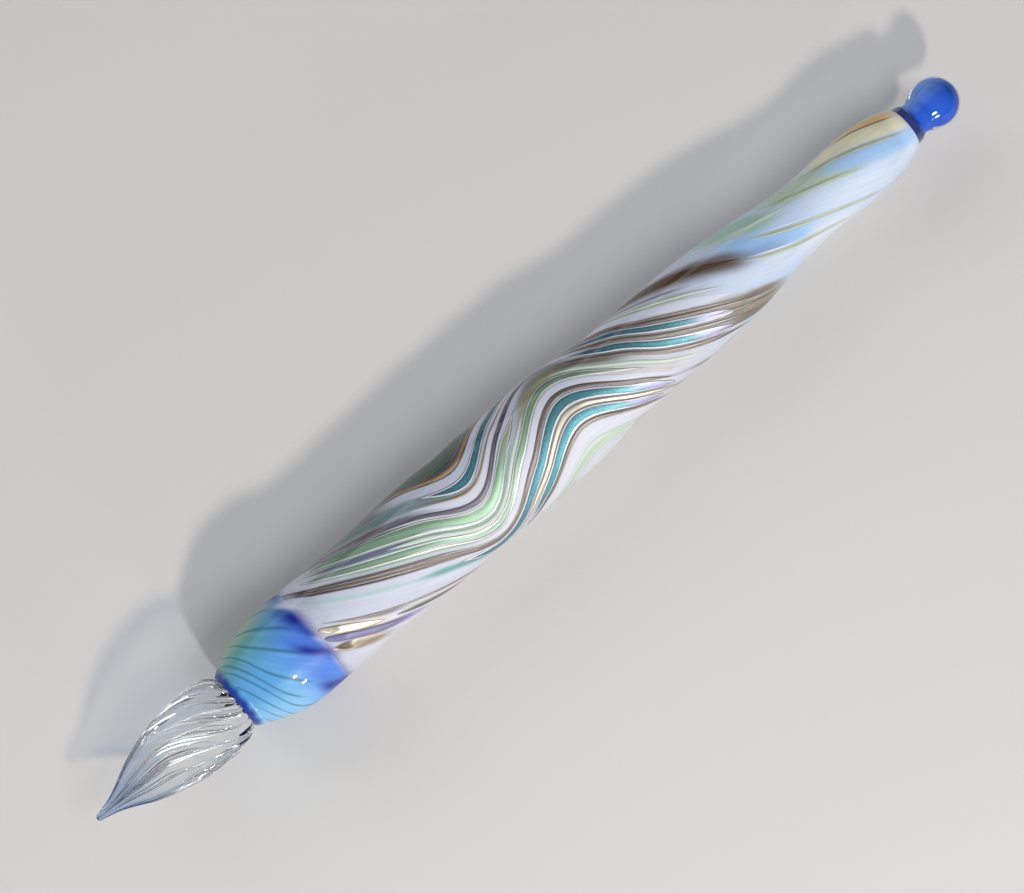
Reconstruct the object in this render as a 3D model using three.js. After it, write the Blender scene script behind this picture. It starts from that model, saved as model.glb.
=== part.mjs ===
// Lampworked glass dip pen, solid glass throughout, lying on its side.
// Millimetres, +Z up. The pen's axis runs along X, from the nib's tip at -X to the ball at +X.
// The origin is under the middle of the pen's length, on the surface that the pen rests on.
//
// The barrel is a rod of opal glass with coloured canes laid along it. While hot it was twisted
// one way, then back, then the first way again, so the canes wave round it under a clear casing.
// A ribbed nib is fused on in front, through a shoulder of blue glass, and a neck and a ball
// end the tail. The pen lies on the belly of its barrel, which is straight there.

import * as THREE from "three";

// Lengths along the pen, from the nib's tip to the neck
const NIB_LENGTH = 23.7;
const ROOT_RING_LENGTH = 1.3;
const SHOULDER_LENGTH = 8.9;
const COBALT_LENGTH = 3.2;
const BARREL_LENGTH = 70.9;
const TAIL_LENGTH = 34.9;
const NECK_RING_LENGTH = 1.0;
const NECK_LENGTH = 2.2;

// Radii of the pen's outside
const TIP_RADIUS = 0.38;
const NIB_RADIUS = 5.5;
const ROOT_RADIUS = 4.79;
const SHOULDER_RADIUS = 7.26;
const GRIP_RADIUS = 7.15;
const BELLY_RADIUS = 7.55;
const REAR_RADIUS = 6.49;
const TAIL_START_RADIUS = 6.36;
const TAIL_WAIST_RADIUS = 4.59;
const TAIL_BULGE_RADIUS = 4.87;
const TAIL_ROUND_RADIUS = 4.4;
const TAIL_END_RADIUS = 3.06;
const NECK_RADIUS = 2.67;
const BALL_RADIUS = 3.54;

// The nib's ribs
const RIB_COUNT = 15;
const RIB_DEPTH = 0.75;
const NIB_TWIST = 65;

// The layers of the barrel and tail, from the outside in
const CASING_WALL = 0.8;
const CASING_CLEARANCE = 0.06;
const CANE_THICKNESS = 0.45;
const CORE_CLEARANCE = 0.16;

// How a cane narrows to a point at its ends
const POINT_LENGTH = 3.0;
const POINT_SHARE = 0.35;

// Faces round the turned pieces: a flat one at the bottom, and one at each side
const SIDES = 16;
// Steps along the barrel and along the tail, shared by all the layers
const BARREL_STEPS = 30;
const TAIL_STEPS = 14;
// The widest face of a cane, in degrees round the pen
const FACE_DEGREES = 11;

// The twist, in degrees round the pen. Places along the barrel are counted from 0 at its front
// to 1 at its end, and places along the tail from 1 to 2. Positive turns go from the top towards
// -Y. ROLL is how far the whole pattern is rolled over as the pen lies.
const ROLL = 9;
const TWIST = [
  [0, -124],
  [0.126, -75],
  [0.278, -31],
  [0.388, 0],
  [0.506, -47],
  [0.629, -91],
  [0.772, -38],
  [0.848, 2],
  [1, 60],
  [2, 243],
];

// The canes, as laid on the core before the twist: start and end are places along the barrel
// and tail as above, middle and width are degrees round the pen.
const CANES = [
  { name: "teal_cane_1", glass: "teal", start: 0.29, end: 0.83, middle: 76, width: 15 },
  { name: "teal_cane_2", glass: "teal", start: 0.44, end: 0.8, middle: 100, width: 14 },
  { name: "teal_cane_3", glass: "teal", start: 0.68, end: 0.985, middle: 5.5, width: 16 },
  { name: "teal_cane_4", glass: "teal", start: 0.3, end: 1.0, middle: -19.5, width: 14 },
  { name: "teal_cane_5", glass: "teal", start: 0.28, end: 0.76, middle: -118, width: 14 },
  { name: "celadon_cane_1", glass: "celadon", start: 0.06, end: 0.56, middle: 20.5, width: 17 },
  { name: "celadon_cane_2", glass: "celadon", start: 0.04, end: 0.8, middle: 45, width: 12 },
  { name: "celadon_cane_3", glass: "celadon", start: 0.1, end: 0.68, middle: -140, width: 12 },
  { name: "dark_green_cane_1", glass: "dark_green", start: 0.16, end: 0.5, middle: -65, width: 32 },
  { name: "dark_green_cane_2", glass: "dark_green", start: 0.14, end: 0.32, middle: 121.5, width: 7 },
  { name: "pale_green_cane", glass: "pale_green", start: 0.36, end: 0.84, middle: 142, width: 12 },
  { name: "brown_thread_1", glass: "brown", start: 0.01, end: 0.83, middle: 64.5, width: 4.5 },
  { name: "brown_thread_2", glass: "brown", start: 0.7, end: 1.2, middle: -30.5, width: 4.5 },
  { name: "brown_thread_3", glass: "brown", start: 0.46, end: 0.75, middle: 110.5, width: 3.5 },
  { name: "brown_thread_4", glass: "brown", start: 0.05, end: 0.74, middle: -104, width: 4.5 },
  { name: "brown_cane", glass: "brown", start: 0.77, end: 1.14, middle: -97, width: 34 },
  { name: "amber_thread", glass: "amber", start: 0.24, end: 0.54, middle: -43.5, width: 5 },
  { name: "grey_thread", glass: "grey", start: 0.26, end: 0.66, middle: 5, width: 4 },
  { name: "silver_cane_1", glass: "silver", start: 0.005, end: 0.12, middle: 123, width: 11 },
  { name: "silver_cane_2", glass: "silver", start: 0.34, end: 0.76, middle: -96, width: 6 },
  { name: "lavender_thread_1", glass: "lavender", start: 0.005, end: 0.17, middle: 134.5, width: 8 },
  { name: "lavender_thread_2", glass: "lavender", start: 0.06, end: 0.3, middle: 33.5, width: 4 },
  { name: "lavender_thread_3", glass: "lavender", start: 0.2, end: 0.62, middle: -129, width: 4 },
  { name: "tan_cane", glass: "amber", start: 0.005, end: 0.11, middle: 148.5, width: 15 },
  { name: "white_cane_1", glass: "white", start: 0.33, end: 0.86, middle: 56.5, width: 9 },
  { name: "white_cane_2", glass: "white", start: 0.33, end: 0.86, middle: 124, width: 18 },
  { name: "white_cane_3", glass: "white", start: 0.14, end: 0.84, middle: 170, width: 26 },
  { name: "white_cane_4", glass: "white", start: 0.28, end: 0.66, middle: -5, width: 9 },
  { name: "white_cane_5", glass: "white", start: 0.7, end: 1.05, middle: -47, width: 15 },
  { name: "white_cane_6", glass: "white", start: 0.1, end: 0.8, middle: -157, width: 11 },
  { name: "tail_thread_1", glass: "olive", start: 1.14, end: 1.63, middle: -90, width: 5 },
  { name: "tail_thread_2", glass: "olive", start: 1.21, end: 1.78, middle: -125, width: 5 },
  { name: "tail_thread_3", glass: "olive", start: 1.34, end: 1.74, middle: 170, width: 5 },
  { name: "tail_thread_4", glass: "olive", start: 1.53, end: 1.97, middle: 130, width: 5 },
  { name: "tail_thread_5", glass: "amber", start: 1.7, end: 1.97, middle: 80, width: 6 },
];

// Places along the pen, from the nib's tip
const NIB_END = NIB_LENGTH;
const ROOT_RING_END = NIB_END + ROOT_RING_LENGTH;
const SHOULDER_END = ROOT_RING_END + SHOULDER_LENGTH;
const BARREL_START = SHOULDER_END + COBALT_LENGTH;
const BARREL_END = BARREL_START + BARREL_LENGTH;
const TAIL_END = BARREL_END + TAIL_LENGTH;
const NECK_RING_END = TAIL_END + NECK_RING_LENGTH;
const NECK_END = NECK_RING_END + NECK_LENGTH;
// The ball is a sphere cut where it is as wide as the neck
const BALL_CUT = Math.asin(Math.min(NECK_RADIUS / BALL_RADIUS, 1));
const BALL_CENTRE = NECK_END + BALL_RADIUS * Math.cos(BALL_CUT);
const PEN_LENGTH = BALL_CENTRE + BALL_RADIUS;

const radians = THREE.MathUtils.degToRad;

// A smooth curve through [place, value] keys that never swings past them: cubic pieces whose
// slope at each key is the harmonic mean of its neighbours, or 0 where the curve turns back.
function smoothCurve(keys) {
  const slopes = [];
  for (let i = 0; i < keys.length - 1; i += 1) {
    slopes.push((keys[i + 1][1] - keys[i][1]) / (keys[i + 1][0] - keys[i][0]));
  }
  const tangents = keys.map((key, i) => {
    if (i === 0) return slopes[0];
    if (i === keys.length - 1) return slopes[i - 1];
    const before = slopes[i - 1];
    const after = slopes[i];
    return before * after > 0 ? (2 * before * after) / (before + after) : 0;
  });
  return (place) => {
    let i = 0;
    while (i < keys.length - 2 && place > keys[i + 1][0]) i += 1;
    const step = keys[i + 1][0] - keys[i][0];
    const t = (place - keys[i][0]) / step;
    const start = (1 + 2 * t) * (1 - t) * (1 - t) * keys[i][1];
    const end = t * t * (3 - 2 * t) * keys[i + 1][1];
    const startTangent = t * (1 - t) * (1 - t) * step * tangents[i];
    const endTangent = t * t * (t - 1) * step * tangents[i + 1];
    return start + end + startTangent + endTangent;
  };
}

// The distance from the nib's tip of a place along the barrel (0 to 1) or the tail (1 to 2)
function distance(place) {
  if (place <= 1) return BARREL_START + place * BARREL_LENGTH;
  return BARREL_END + (place - 1) * TAIL_LENGTH;
}

const outsideRadius = smoothCurve([
  [SHOULDER_END, SHOULDER_RADIUS],
  [distance(0.126), GRIP_RADIUS],
  [distance(0.3), BELLY_RADIUS],
  [distance(0.6), BELLY_RADIUS],
  [distance(0.773), REAR_RADIUS],
  [distance(0.924), REAR_RADIUS],
  [BARREL_END, TAIL_START_RADIUS],
  [distance(1.52), TAIL_WAIST_RADIUS],
  [distance(1.77), TAIL_BULGE_RADIUS],
  [distance(1.905), TAIL_ROUND_RADIUS],
  [TAIL_END, TAIL_END_RADIUS],
]);

const twistAt = smoothCurve(TWIST.map(([place, turn]) => [distance(place), turn]));

// The steps that all the layers of barrel and tail share: place, distance, outside radius, twist
function layerStep(place) {
  const along = distance(place);
  return { place, along, radius: outsideRadius(along), twist: twistAt(along) };
}

const STEPS = [];
for (let i = 0; i <= BARREL_STEPS; i += 1) STEPS.push(layerStep(i / BARREL_STEPS));
for (let i = 1; i <= TAIL_STEPS; i += 1) STEPS.push(layerStep(1 + i / TAIL_STEPS));

// A point round the pen's axis, at an angle in degrees from the top towards -Y
function pointRound(along, radius, degrees) {
  const angle = radians(degrees);
  return new THREE.Vector3(along, -radius * Math.sin(angle), radius * Math.cos(angle));
}

// A point in the layers: place along, depth below the outside, and degrees before the twist.
// Between two steps it lies on the straight line that joins them, so that layers keep apart.
function layerPoint(place, depth, degrees) {
  let i = 0;
  while (i < STEPS.length - 2 && place > STEPS[i + 1].place) i += 1;
  const ends = [STEPS[i], STEPS[i + 1]].map((step) =>
    pointRound(step.along, step.radius - depth, degrees + step.twist + ROLL),
  );
  const share = (place - STEPS[i].place) / (STEPS[i + 1].place - STEPS[i].place);
  return ends[0].lerp(ends[1], share);
}

// A closed body through rings of equally many points. Each face between two rings is split
// along its shorter diagonal. cap says which triangles, by number in the ring, close an end.
function bodyThrough(rings, cap) {
  const points = rings.flat();
  const size = rings[0].length;
  const index = [];
  for (let ring = 0; ring < rings.length - 1; ring += 1) {
    for (let i = 0; i < size; i += 1) {
      const next = (i + 1) % size;
      const a = ring * size + i;
      const b = ring * size + next;
      const c = b + size;
      const d = a + size;
      const alongAC = points[a].distanceTo(points[c]) < points[b].distanceTo(points[d]);
      index.push(...(alongAC ? [a, b, c, a, c, d] : [a, b, d, b, c, d]));
    }
  }
  const last = (rings.length - 1) * size;
  for (const [i, j, k] of cap) {
    index.push(k, j, i);
    index.push(last + i, last + j, last + k);
  }
  const geometry = new THREE.BufferGeometry().setFromPoints(points);
  geometry.setIndex(index);
  geometry.computeVertexNormals();
  return geometry;
}

// A body of revolution along X from a profile of [distance, radius] points. The radii are
// those of the flat faces, so the bottom face lies exactly one radius under the axis.
function turned(profile) {
  const corner = 1 / Math.cos(Math.PI / SIDES);
  const points = profile.map(([along, radius]) => new THREE.Vector2(radius * corner, along));
  const geometry = new THREE.LatheGeometry(points, SIDES, Math.PI / SIDES);
  geometry.rotateZ(-Math.PI / 2);
  return geometry;
}

// A turned piece between two flat ends, from the [distance, radius] points of its outside
function turnedRod(outside) {
  const start = outside[0][0];
  const end = outside[outside.length - 1][0];
  return turned([[start, 0], ...outside, [end, 0]]);
}

function nib() {
  const crest = smoothCurve([
    [0, TIP_RADIUS],
    [0.12, 0.2 * NIB_RADIUS],
    [0.35, 0.66 * NIB_RADIUS],
    [0.575, 0.93 * NIB_RADIUS],
    [0.8, NIB_RADIUS],
    [1, ROOT_RADIUS],
  ]);
  const twistStart = 0.45;
  const steps = 16;
  // Across one rib, as a share of its depth: groove, flank, crest, flank
  const ribShape = [1, 0.3, 0, 0.3];
  const size = RIB_COUNT * ribShape.length;
  const rings = [];
  for (let step = 0; step <= steps; step += 1) {
    const place = step / steps;
    const turn = NIB_TWIST * Math.max(0, (place - twistStart) / (1 - twistStart)) ** 1.5;
    const radius = crest(place);
    const depth = (RIB_DEPTH * radius) / NIB_RADIUS;
    const ring = [];
    for (let i = 0; i < size; i += 1) {
      const inward = depth * ribShape[i % ribShape.length];
      ring.push(pointRound(place * NIB_END, radius - inward, (360 * i) / size + turn));
    }
    rings.push(ring);
  }
  const cap = [];
  for (let i = 1; i < size - 1; i += 1) cap.push([0, i, i + 1]);
  return bodyThrough(rings, cap);
}

function nibRootRing() {
  return turnedRod([
    [NIB_END, ROOT_RADIUS],
    [ROOT_RING_END, ROOT_RADIUS],
  ]);
}

// The shoulder swells from the nib's root in a parabola that ends level with the barrel
function frontShoulder() {
  const steps = 8;
  const outside = [];
  for (let step = 0; step <= steps; step += 1) {
    const share = step / steps;
    const rise = 1 - (1 - share) ** 2;
    const radius = THREE.MathUtils.lerp(ROOT_RADIUS, SHOULDER_RADIUS, rise);
    outside.push([THREE.MathUtils.lerp(ROOT_RING_END, SHOULDER_END, share), radius]);
  }
  return turnedRod(outside);
}

function cobaltBand() {
  return turnedRod([
    [SHOULDER_END, SHOULDER_RADIUS],
    [BARREL_START, outsideRadius(BARREL_START)],
  ]);
}

// The core is what the casing and the canes leave: one rod in the barrel, one in the tail
function core(fromPlace, toPlace) {
  const depth = CASING_WALL + CASING_CLEARANCE + CANE_THICKNESS + CORE_CLEARANCE;
  const corner = Math.cos(Math.PI / SIDES);
  const steps = STEPS.filter((step) => step.place >= fromPlace && step.place <= toPlace);
  return turnedRod(steps.map((step) => [step.along, (step.radius - depth) * corner]));
}

function clearCasing() {
  const outer = STEPS.map((step) => [step.along, step.radius]);
  const inner = STEPS.map((step) => [step.along, step.radius - CASING_WALL]).reverse();
  return turned([...outer, ...inner, outer[0]]);
}

// A cane is a curved strip of glass that follows the twist and narrows at both ends
function cane({ start, end, middle, width }) {
  const point = POINT_LENGTH / BARREL_LENGTH;
  const bends = [start, start + point, end - point, end];
  // A shared step this close to a bend is left out, so that no face is a sliver
  const near = 0.3 / BARREL_STEPS;
  const between = STEPS.map((step) => step.place).filter(
    (place) => place > start && place < end && bends.every((bend) => Math.abs(bend - place) > near),
  );
  const places = [...bends, ...between].sort((a, b) => a - b);
  const faces = Math.ceil(width / FACE_DEGREES);
  const outerDepth = CASING_WALL + CASING_CLEARANCE;
  const innerDepth = outerDepth + CANE_THICKNESS;
  const rings = places.map((place) => {
    const toEnd = Math.min(place - start, end - place, point) / point;
    const share = THREE.MathUtils.lerp(POINT_SHARE, 1, toEnd);
    const angle = (i) => middle + width * share * (i / faces - 0.5);
    const outer = [];
    const inner = [];
    for (let i = 0; i <= faces; i += 1) {
      outer.push(layerPoint(place, outerDepth, angle(i)));
      inner.unshift(layerPoint(place, innerDepth, angle(i)));
    }
    return [...outer, ...inner];
  });
  const cap = [];
  const size = rings[0].length;
  for (let i = 0; i < faces; i += 1) {
    const opposite = size - 1 - i;
    cap.push([i, i + 1, opposite], [i + 1, opposite - 1, opposite]);
  }
  return bodyThrough(rings, cap);
}

function neckRing() {
  return turnedRod([
    [TAIL_END, TAIL_END_RADIUS],
    [NECK_RING_END, (TAIL_END_RADIUS + NECK_RADIUS) / 2],
  ]);
}

function neck() {
  return turnedRod([
    [NECK_RING_END, (TAIL_END_RADIUS + NECK_RADIUS) / 2],
    [(NECK_RING_END + NECK_END) / 2, NECK_RADIUS],
    [NECK_END, NECK_RADIUS],
  ]);
}

function ballFinial() {
  const steps = 12;
  const outside = [];
  for (let step = 0; step < steps; step += 1) {
    const angle = THREE.MathUtils.lerp(BALL_CUT, Math.PI, step / steps);
    outside.push([BALL_CENTRE - BALL_RADIUS * Math.cos(angle), BALL_RADIUS * Math.sin(angle)]);
  }
  return turned([[outside[0][0], 0], ...outside, [PEN_LENGTH, 0]]);
}

// The glasses: colour, and how much light passes through as opacity below 1
const GLASSES = {
  clear: { color: 0xeaf0f6, opacity: 0.3 },
  ink_blue: { color: 0x1c2f66 },
  sky: { color: 0x7db8ee },
  cobalt: { color: 0x1546c8 },
  opal: { color: 0xe6e8f2 },
  pale_sky: { color: 0xb9d9f7 },
  teal: { color: 0x0e7280 },
  celadon: { color: 0x7fb58a },
  dark_green: { color: 0x2e5a3c },
  pale_green: { color: 0xcdebd5 },
  brown: { color: 0x6e5a4c },
  amber: { color: 0x9a7a50 },
  grey: { color: 0x4a4450 },
  silver: { color: 0xf0e6d0 },
  lavender: { color: 0x9c9cd8 },
  white: { color: 0xf4f4fa },
  olive: { color: 0x7a7f45 },
  indigo: { color: 0x3a3f70 },
  clear_blue: { color: 0x4a78d8, opacity: 0.6 },
  ball_blue: { color: 0x2c5fd0, opacity: 0.8 },
};

function piece(name, geometry, glass) {
  const { color, opacity = 1 } = GLASSES[glass];
  const transparent = opacity < 1;
  const finish = { color, opacity, transparent, roughness: 0.06, metalness: 0 };
  const mesh = new THREE.Mesh(geometry, new THREE.MeshStandardMaterial(finish));
  mesh.name = name;
  return mesh;
}

const pen = new THREE.Group();
pen.position.set(-PEN_LENGTH / 2, 0, BELLY_RADIUS);
pen.add(piece("nib", nib(), "clear"));
pen.add(piece("nib_root_ring", nibRootRing(), "ink_blue"));
pen.add(piece("front_shoulder", frontShoulder(), "sky"));
pen.add(piece("cobalt_band", cobaltBand(), "cobalt"));
pen.add(piece("opal_core", core(0, 1), "opal"));
pen.add(piece("tail_core", core(1, 2), "pale_sky"));
pen.add(piece("clear_casing", clearCasing(), "clear"));
for (const strip of CANES) pen.add(piece(strip.name, cane(strip), strip.glass));
pen.add(piece("neck_ring", neckRing(), "indigo"));
pen.add(piece("neck", neck(), "clear_blue"));
pen.add(piece("ball_finial", ballFinial(), "ball_blue"));

export default pen;
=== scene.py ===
"""Looks of a lampworked glass dip pen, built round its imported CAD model.

A rod of opal glass carries coloured canes, and clear glass closes over them. Every piece lies where
its CAD node lies: the outside is measured on the frame, and the canes follow the part's own twist.
Tables and functions count in millimetres and degrees, and the add-on's settings in metres.
"""

import math

import bpy
import numpy as np
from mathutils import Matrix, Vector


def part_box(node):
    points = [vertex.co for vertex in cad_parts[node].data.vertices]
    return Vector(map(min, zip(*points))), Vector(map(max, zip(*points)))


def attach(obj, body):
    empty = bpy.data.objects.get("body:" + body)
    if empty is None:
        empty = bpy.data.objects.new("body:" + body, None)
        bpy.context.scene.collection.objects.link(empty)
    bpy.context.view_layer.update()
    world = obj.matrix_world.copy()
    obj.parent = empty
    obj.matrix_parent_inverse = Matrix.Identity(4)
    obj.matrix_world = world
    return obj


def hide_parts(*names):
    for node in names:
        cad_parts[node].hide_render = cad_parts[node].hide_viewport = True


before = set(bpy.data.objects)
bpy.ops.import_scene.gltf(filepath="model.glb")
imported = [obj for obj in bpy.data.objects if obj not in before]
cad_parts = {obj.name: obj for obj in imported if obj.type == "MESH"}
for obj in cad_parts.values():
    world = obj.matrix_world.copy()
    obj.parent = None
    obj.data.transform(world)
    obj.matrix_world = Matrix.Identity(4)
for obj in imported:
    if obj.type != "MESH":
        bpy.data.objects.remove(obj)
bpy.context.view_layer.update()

bl_info = {
    "name": "Lampworked glass pen",
    "version": (1, 0, 0),
    "blender": (4, 5, 0),
    "location": "3D View > Sidebar > Glass pen",
    "description": "Builds the glass of a twisted cane dip pen round its CAD frame",
    "category": "Add Mesh",
}

MM = 0.001
NOT_IN_SATIN_LIGHT = "not_in_satin_light"

# Faces round the turned CAD solids, whose flat faces touch the true round surface
CAD_SIDES = 16

# Columns round a plain body, one with a pattern, and the skin, which mirrors the lamps
PLAIN_COLUMNS = 128
PATTERN_COLUMNS = 360
SKIN_COLUMNS = 256
# Columns across a rib, and round a cane and a fine thread
RIB_COLUMNS = 20
CANE_COLUMNS = 20
THREAD_COLUMNS = 12
# Faces that meet at more than this angle keep a sharp edge, in degrees
SHARP_ANGLE = 50

# The twist of the barrel and tail, as in the part: places from 0 to 1 along the barrel and from
# 1 to 2 along the tail, and degrees round the pen. ROLL turns the whole pattern over.
ROLL = 9
TWIST = [
    (0, -124), (0.126, -75), (0.278, -31), (0.388, 0), (0.506, -47), (0.629, -91), (0.772, -38),
    (0.848, 2), (1, 60), (2, 243),
]
# The same twist runs on through the shoulder: shares of its length, and degrees
SHOULDER_TWIST = [(0, -300), (0.24, -243), (0.47, -194), (0.7, -170)]
SHOULDER_END_TWIST = -147

# The nib's ribs, how far they turn in degrees, from which share of its length, and by which power
RIB_COUNT = 15
NIB_TWIST = 65
NIB_TWIST_START = 0.45
NIB_TWIST_POWER = 1.5
# A groove's shape as a power, how much sooner a lobe ends in it, and the root's share of the crest
GROOVE_POWER = 0.8
GROOVE_LEAD = 0.3
ROOT_SHARE = 0.72

# How far from its ends the clear skin reaches its full depth, in millimetres
SKIN_FRONT = 3.5
SKIN_REAR = 2.5
# Its depth at its very ends
SKIN_EDGE = 0.02


def node_points(node):
    """The vertices of a CAD node, in millimetres."""
    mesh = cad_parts[node].data
    points = np.empty(len(mesh.vertices) * 3)
    mesh.vertices.foreach_get("co", points)
    return points.reshape(-1, 3) / MM


def node_span(node):
    """Where a CAD node starts and ends along the pen, in millimetres."""
    low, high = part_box(node)
    return low.x / MM, high.x / MM


AXIS_HEIGHT = sum(corner.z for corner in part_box("opal_core")) / 2 / MM
NIB_START, NIB_END = node_span("nib")
ROOT_RING_END = node_span("nib_root_ring")[1]
SHOULDER_END = node_span("front_shoulder")[1]
BARREL_START, BARREL_END = node_span("opal_core")
TAIL_END = node_span("tail_core")[1]
NECK_RING_END = node_span("neck_ring")[1]
NECK_END, PEN_END = node_span("ball_finial")


def smooth_curve(keys, values):
    """A curve through the keys that never swings past them.

    It is a cubic between each pair of keys. The slope at a key is the harmonic mean of the slopes
    on its two sides, or 0 where they differ in sign.
    """
    keys = np.asarray(keys, float)
    values = np.asarray(values, float)
    slopes = np.diff(values) / np.diff(keys)
    product = slopes[:-1] * slopes[1:]
    total = slopes[:-1] + slopes[1:]
    inner = np.where(product > 0, 2 * product / np.where(product > 0, total, 1), 0)
    tangents = np.concatenate([slopes[:1], inner, slopes[-1:]])

    def at(x):
        i = np.clip(np.searchsorted(keys, x, side="right") - 1, 0, len(keys) - 2)
        step = keys[i + 1] - keys[i]
        t = np.clip((x - keys[i]) / step, 0, 1)
        start = (1 + 2 * t) * (1 - t) ** 2 * values[i]
        end = t**2 * (3 - 2 * t) * values[i + 1]
        bend = t * (1 - t) * step * ((1 - t) * tangents[i] - t * tangents[i + 1])
        return start + end + bend

    return at


def smooth_step(value):
    """0 below 0 and 1 above 1, with 3 t squared - 2 t cubed between."""
    t = np.clip(value, 0, 1)
    return t * t * (3 - 2 * t)


def outline(*nodes, sides=CAD_SIDES):
    """Radius over distance of the outside of these CAD nodes, as a smooth curve."""
    points = np.concatenate([node_points(node) for node in nodes])
    # Vertices less than 0.01 mm apart along the pen belong to one ring
    along = np.round(points[:, 0], 2)
    radius = np.hypot(points[:, 1], points[:, 2] - AXIS_HEIGHT)
    stations = np.unique(along)
    widest = np.array([radius[along == station].max() for station in stations])
    flat = math.cos(math.pi / sides) if sides else 1
    return smooth_curve(stations, widest * flat)


def distance(place):
    """The distance along the pen of a place on the barrel (0 to 1) or the tail (1 to 2)."""
    barrel = BARREL_END - BARREL_START
    tail = TAIL_END - BARREL_END
    ends = [BARREL_START - barrel, BARREL_START, BARREL_END, TAIL_END, TAIL_END + tail]
    return np.interp(place, [-1, 0, 1, 2, 3], ends)


def all_twist():
    """The twist in degrees over the distance along the pen, from the shoulder to the tail's end."""
    length = SHOULDER_END - ROOT_RING_END
    keys = [(ROOT_RING_END + share * length, turn) for share, turn in SHOULDER_TWIST]
    keys += [(SHOULDER_END, SHOULDER_END_TWIST)]
    keys += [(distance(place), turn) for place, turn in TWIST]
    return smooth_curve(*zip(*keys))


twist_at = all_twist()
body_radius = outline("front_shoulder", "cobalt_band", "clear_casing")


def rod_radius(x, skin_depth):
    """The radius of the opal rods, in millimetres.

    The clear skin over them starts at nearly no depth, so that no edge shows through it. An eased
    step brings it to its full depth, and another one takes it back at the tail's end.
    """
    into = smooth_step((x - BARREL_START) / SKIN_FRONT)
    out = smooth_step((TAIL_END - x) / SKIN_REAR)
    return body_radius(x) - SKIN_EDGE - (skin_depth - SKIN_EDGE) * np.minimum(into, out)


def round_points(x, radius, degrees):
    """Points round the pen's axis, in metres. Degrees run from the top towards -Y."""
    angle = np.radians(degrees)
    y = -radius * np.sin(angle)
    z = AXIS_HEIGHT + radius * np.cos(angle)
    return np.stack(np.broadcast_arrays(x, y, z), axis=-1) * MM


def laid_points(x, radius, degrees):
    """Where glass lay before the twist, in millimetres, for streaks that follow it."""
    angle = np.radians(degrees)
    return np.stack(np.broadcast_arrays(x, radius * np.sin(angle), radius * np.cos(angle)), axis=-1)


def turn_between(degrees, other):
    """The signed turn from one angle to another, between -180 and 180 degrees."""
    return (degrees - other + 180) % 360 - 180


def linear(colour):
    """A hex colour such as "7FB58A" as linear red, green, blue and alpha."""
    srgb = np.array([int(colour[i : i + 2], 16) / 255 for i in (0, 2, 4)])
    values = np.where(srgb <= 0.04045, srgb / 12.92, ((srgb + 0.055) / 1.055) ** 2.4)
    return (*values.tolist(), 1.0)


# The opal of the barrel, which the blue glass runs into
WHITE_OPAL = "D6DAE8"
# The sockets of clear glass
CLEAR_GLASS = {"Base_Color": linear("FCFEFF"), "IOR": 1.47, "Transmission_Weight": 1.0}


def glass_colour(name, description, colour):
    """A colour setting, from its sRGB hex value."""
    facts = {"name": name, "description": description, "subtype": "COLOR"}
    return bpy.props.FloatVectorProperty(**facts, size=4, min=0, max=1, default=linear(colour))


def glass_size(name, description, millimetres):
    """A length setting, from its value in millimetres."""
    facts = {"name": name, "description": description, "unit": "LENGTH", "precision": 5}
    return bpy.props.FloatProperty(**facts, min=0, default=millimetres * MM)


def view_angle(name, description, degrees):
    """An angle setting, from its value in degrees."""
    facts = {"name": name, "description": description, "subtype": "ANGLE"}
    return bpy.props.FloatProperty(**facts, default=math.radians(degrees))


def lamp_power(name, description, watts):
    """A setting for the power of a lamp, in watts."""
    facts = {"name": name, "description": description, "unit": "POWER"}
    return bpy.props.FloatProperty(**facts, min=0, default=watts)


class NibSettings(bpy.types.PropertyGroup):
    """The ribbed nib."""

    rib_depth: glass_size("Rib depth", "Depth of the grooves where the nib is widest", 1.2)
    lobe_length: glass_size("Lobe length", "Length of the rounded rear end of each rib", 2.2)
    tip_radius: glass_size("Tip radius", "Radius of the small ball at the tip", 0.36)
    # The tip tint is painted: a blue tint for the light that the fine ribs scatter
    tip_tint: glass_colour("Tip tint", "Colour that the fine ribs give the nib's front", "BCD2F0")


class FrontSettings(bpy.types.PropertyGroup):
    """The ring, shoulder and cobalt glass."""

    ring: glass_colour("Ring", "Glass of the ring behind the nib", "1C3C9A")
    # light_sky, sea and leaf are painted light on the shoulder: the opal's lit side towards the lamps and its
    # far side. light_sky also colours the milky streaks.
    light_sky: glass_colour("Light sky", "Opal glass on the side that faces the light", "8CC6EE")
    sky: glass_colour("Sky", "Opal glass of the shoulder", "5CA4DE")
    sea: glass_colour("Sea", "Greener glass on the far side", "62AEA6")
    leaf: glass_colour("Leaf", "Yellow-green tint at the far edge", "A2B480")
    cornflower: glass_colour("Cornflower", "Opal glass just before the cobalt", "5080E2")
    cobalt: glass_colour("Cobalt", "Deep blue glass at the barrel's front", "061E92")
    line: glass_colour("Lines", "Thin drawn-out lines in the shoulder", "1C6070")


class RodSettings(bpy.types.PropertyGroup):
    """The opal rods and the clear glass over them."""

    skin_depth: glass_size("Skin depth", "Thickness of the clear glass over the rods", 0.95)
    white: glass_colour("White opal", "Glass of the barrel's rod", WHITE_OPAL)
    blue: glass_colour("Blue opal", "Glass of the tail's rod", "CADDF4")
    veil: glass_colour("Veil", "Colour of the faint streaks in the opal", "BFC6E0")


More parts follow.
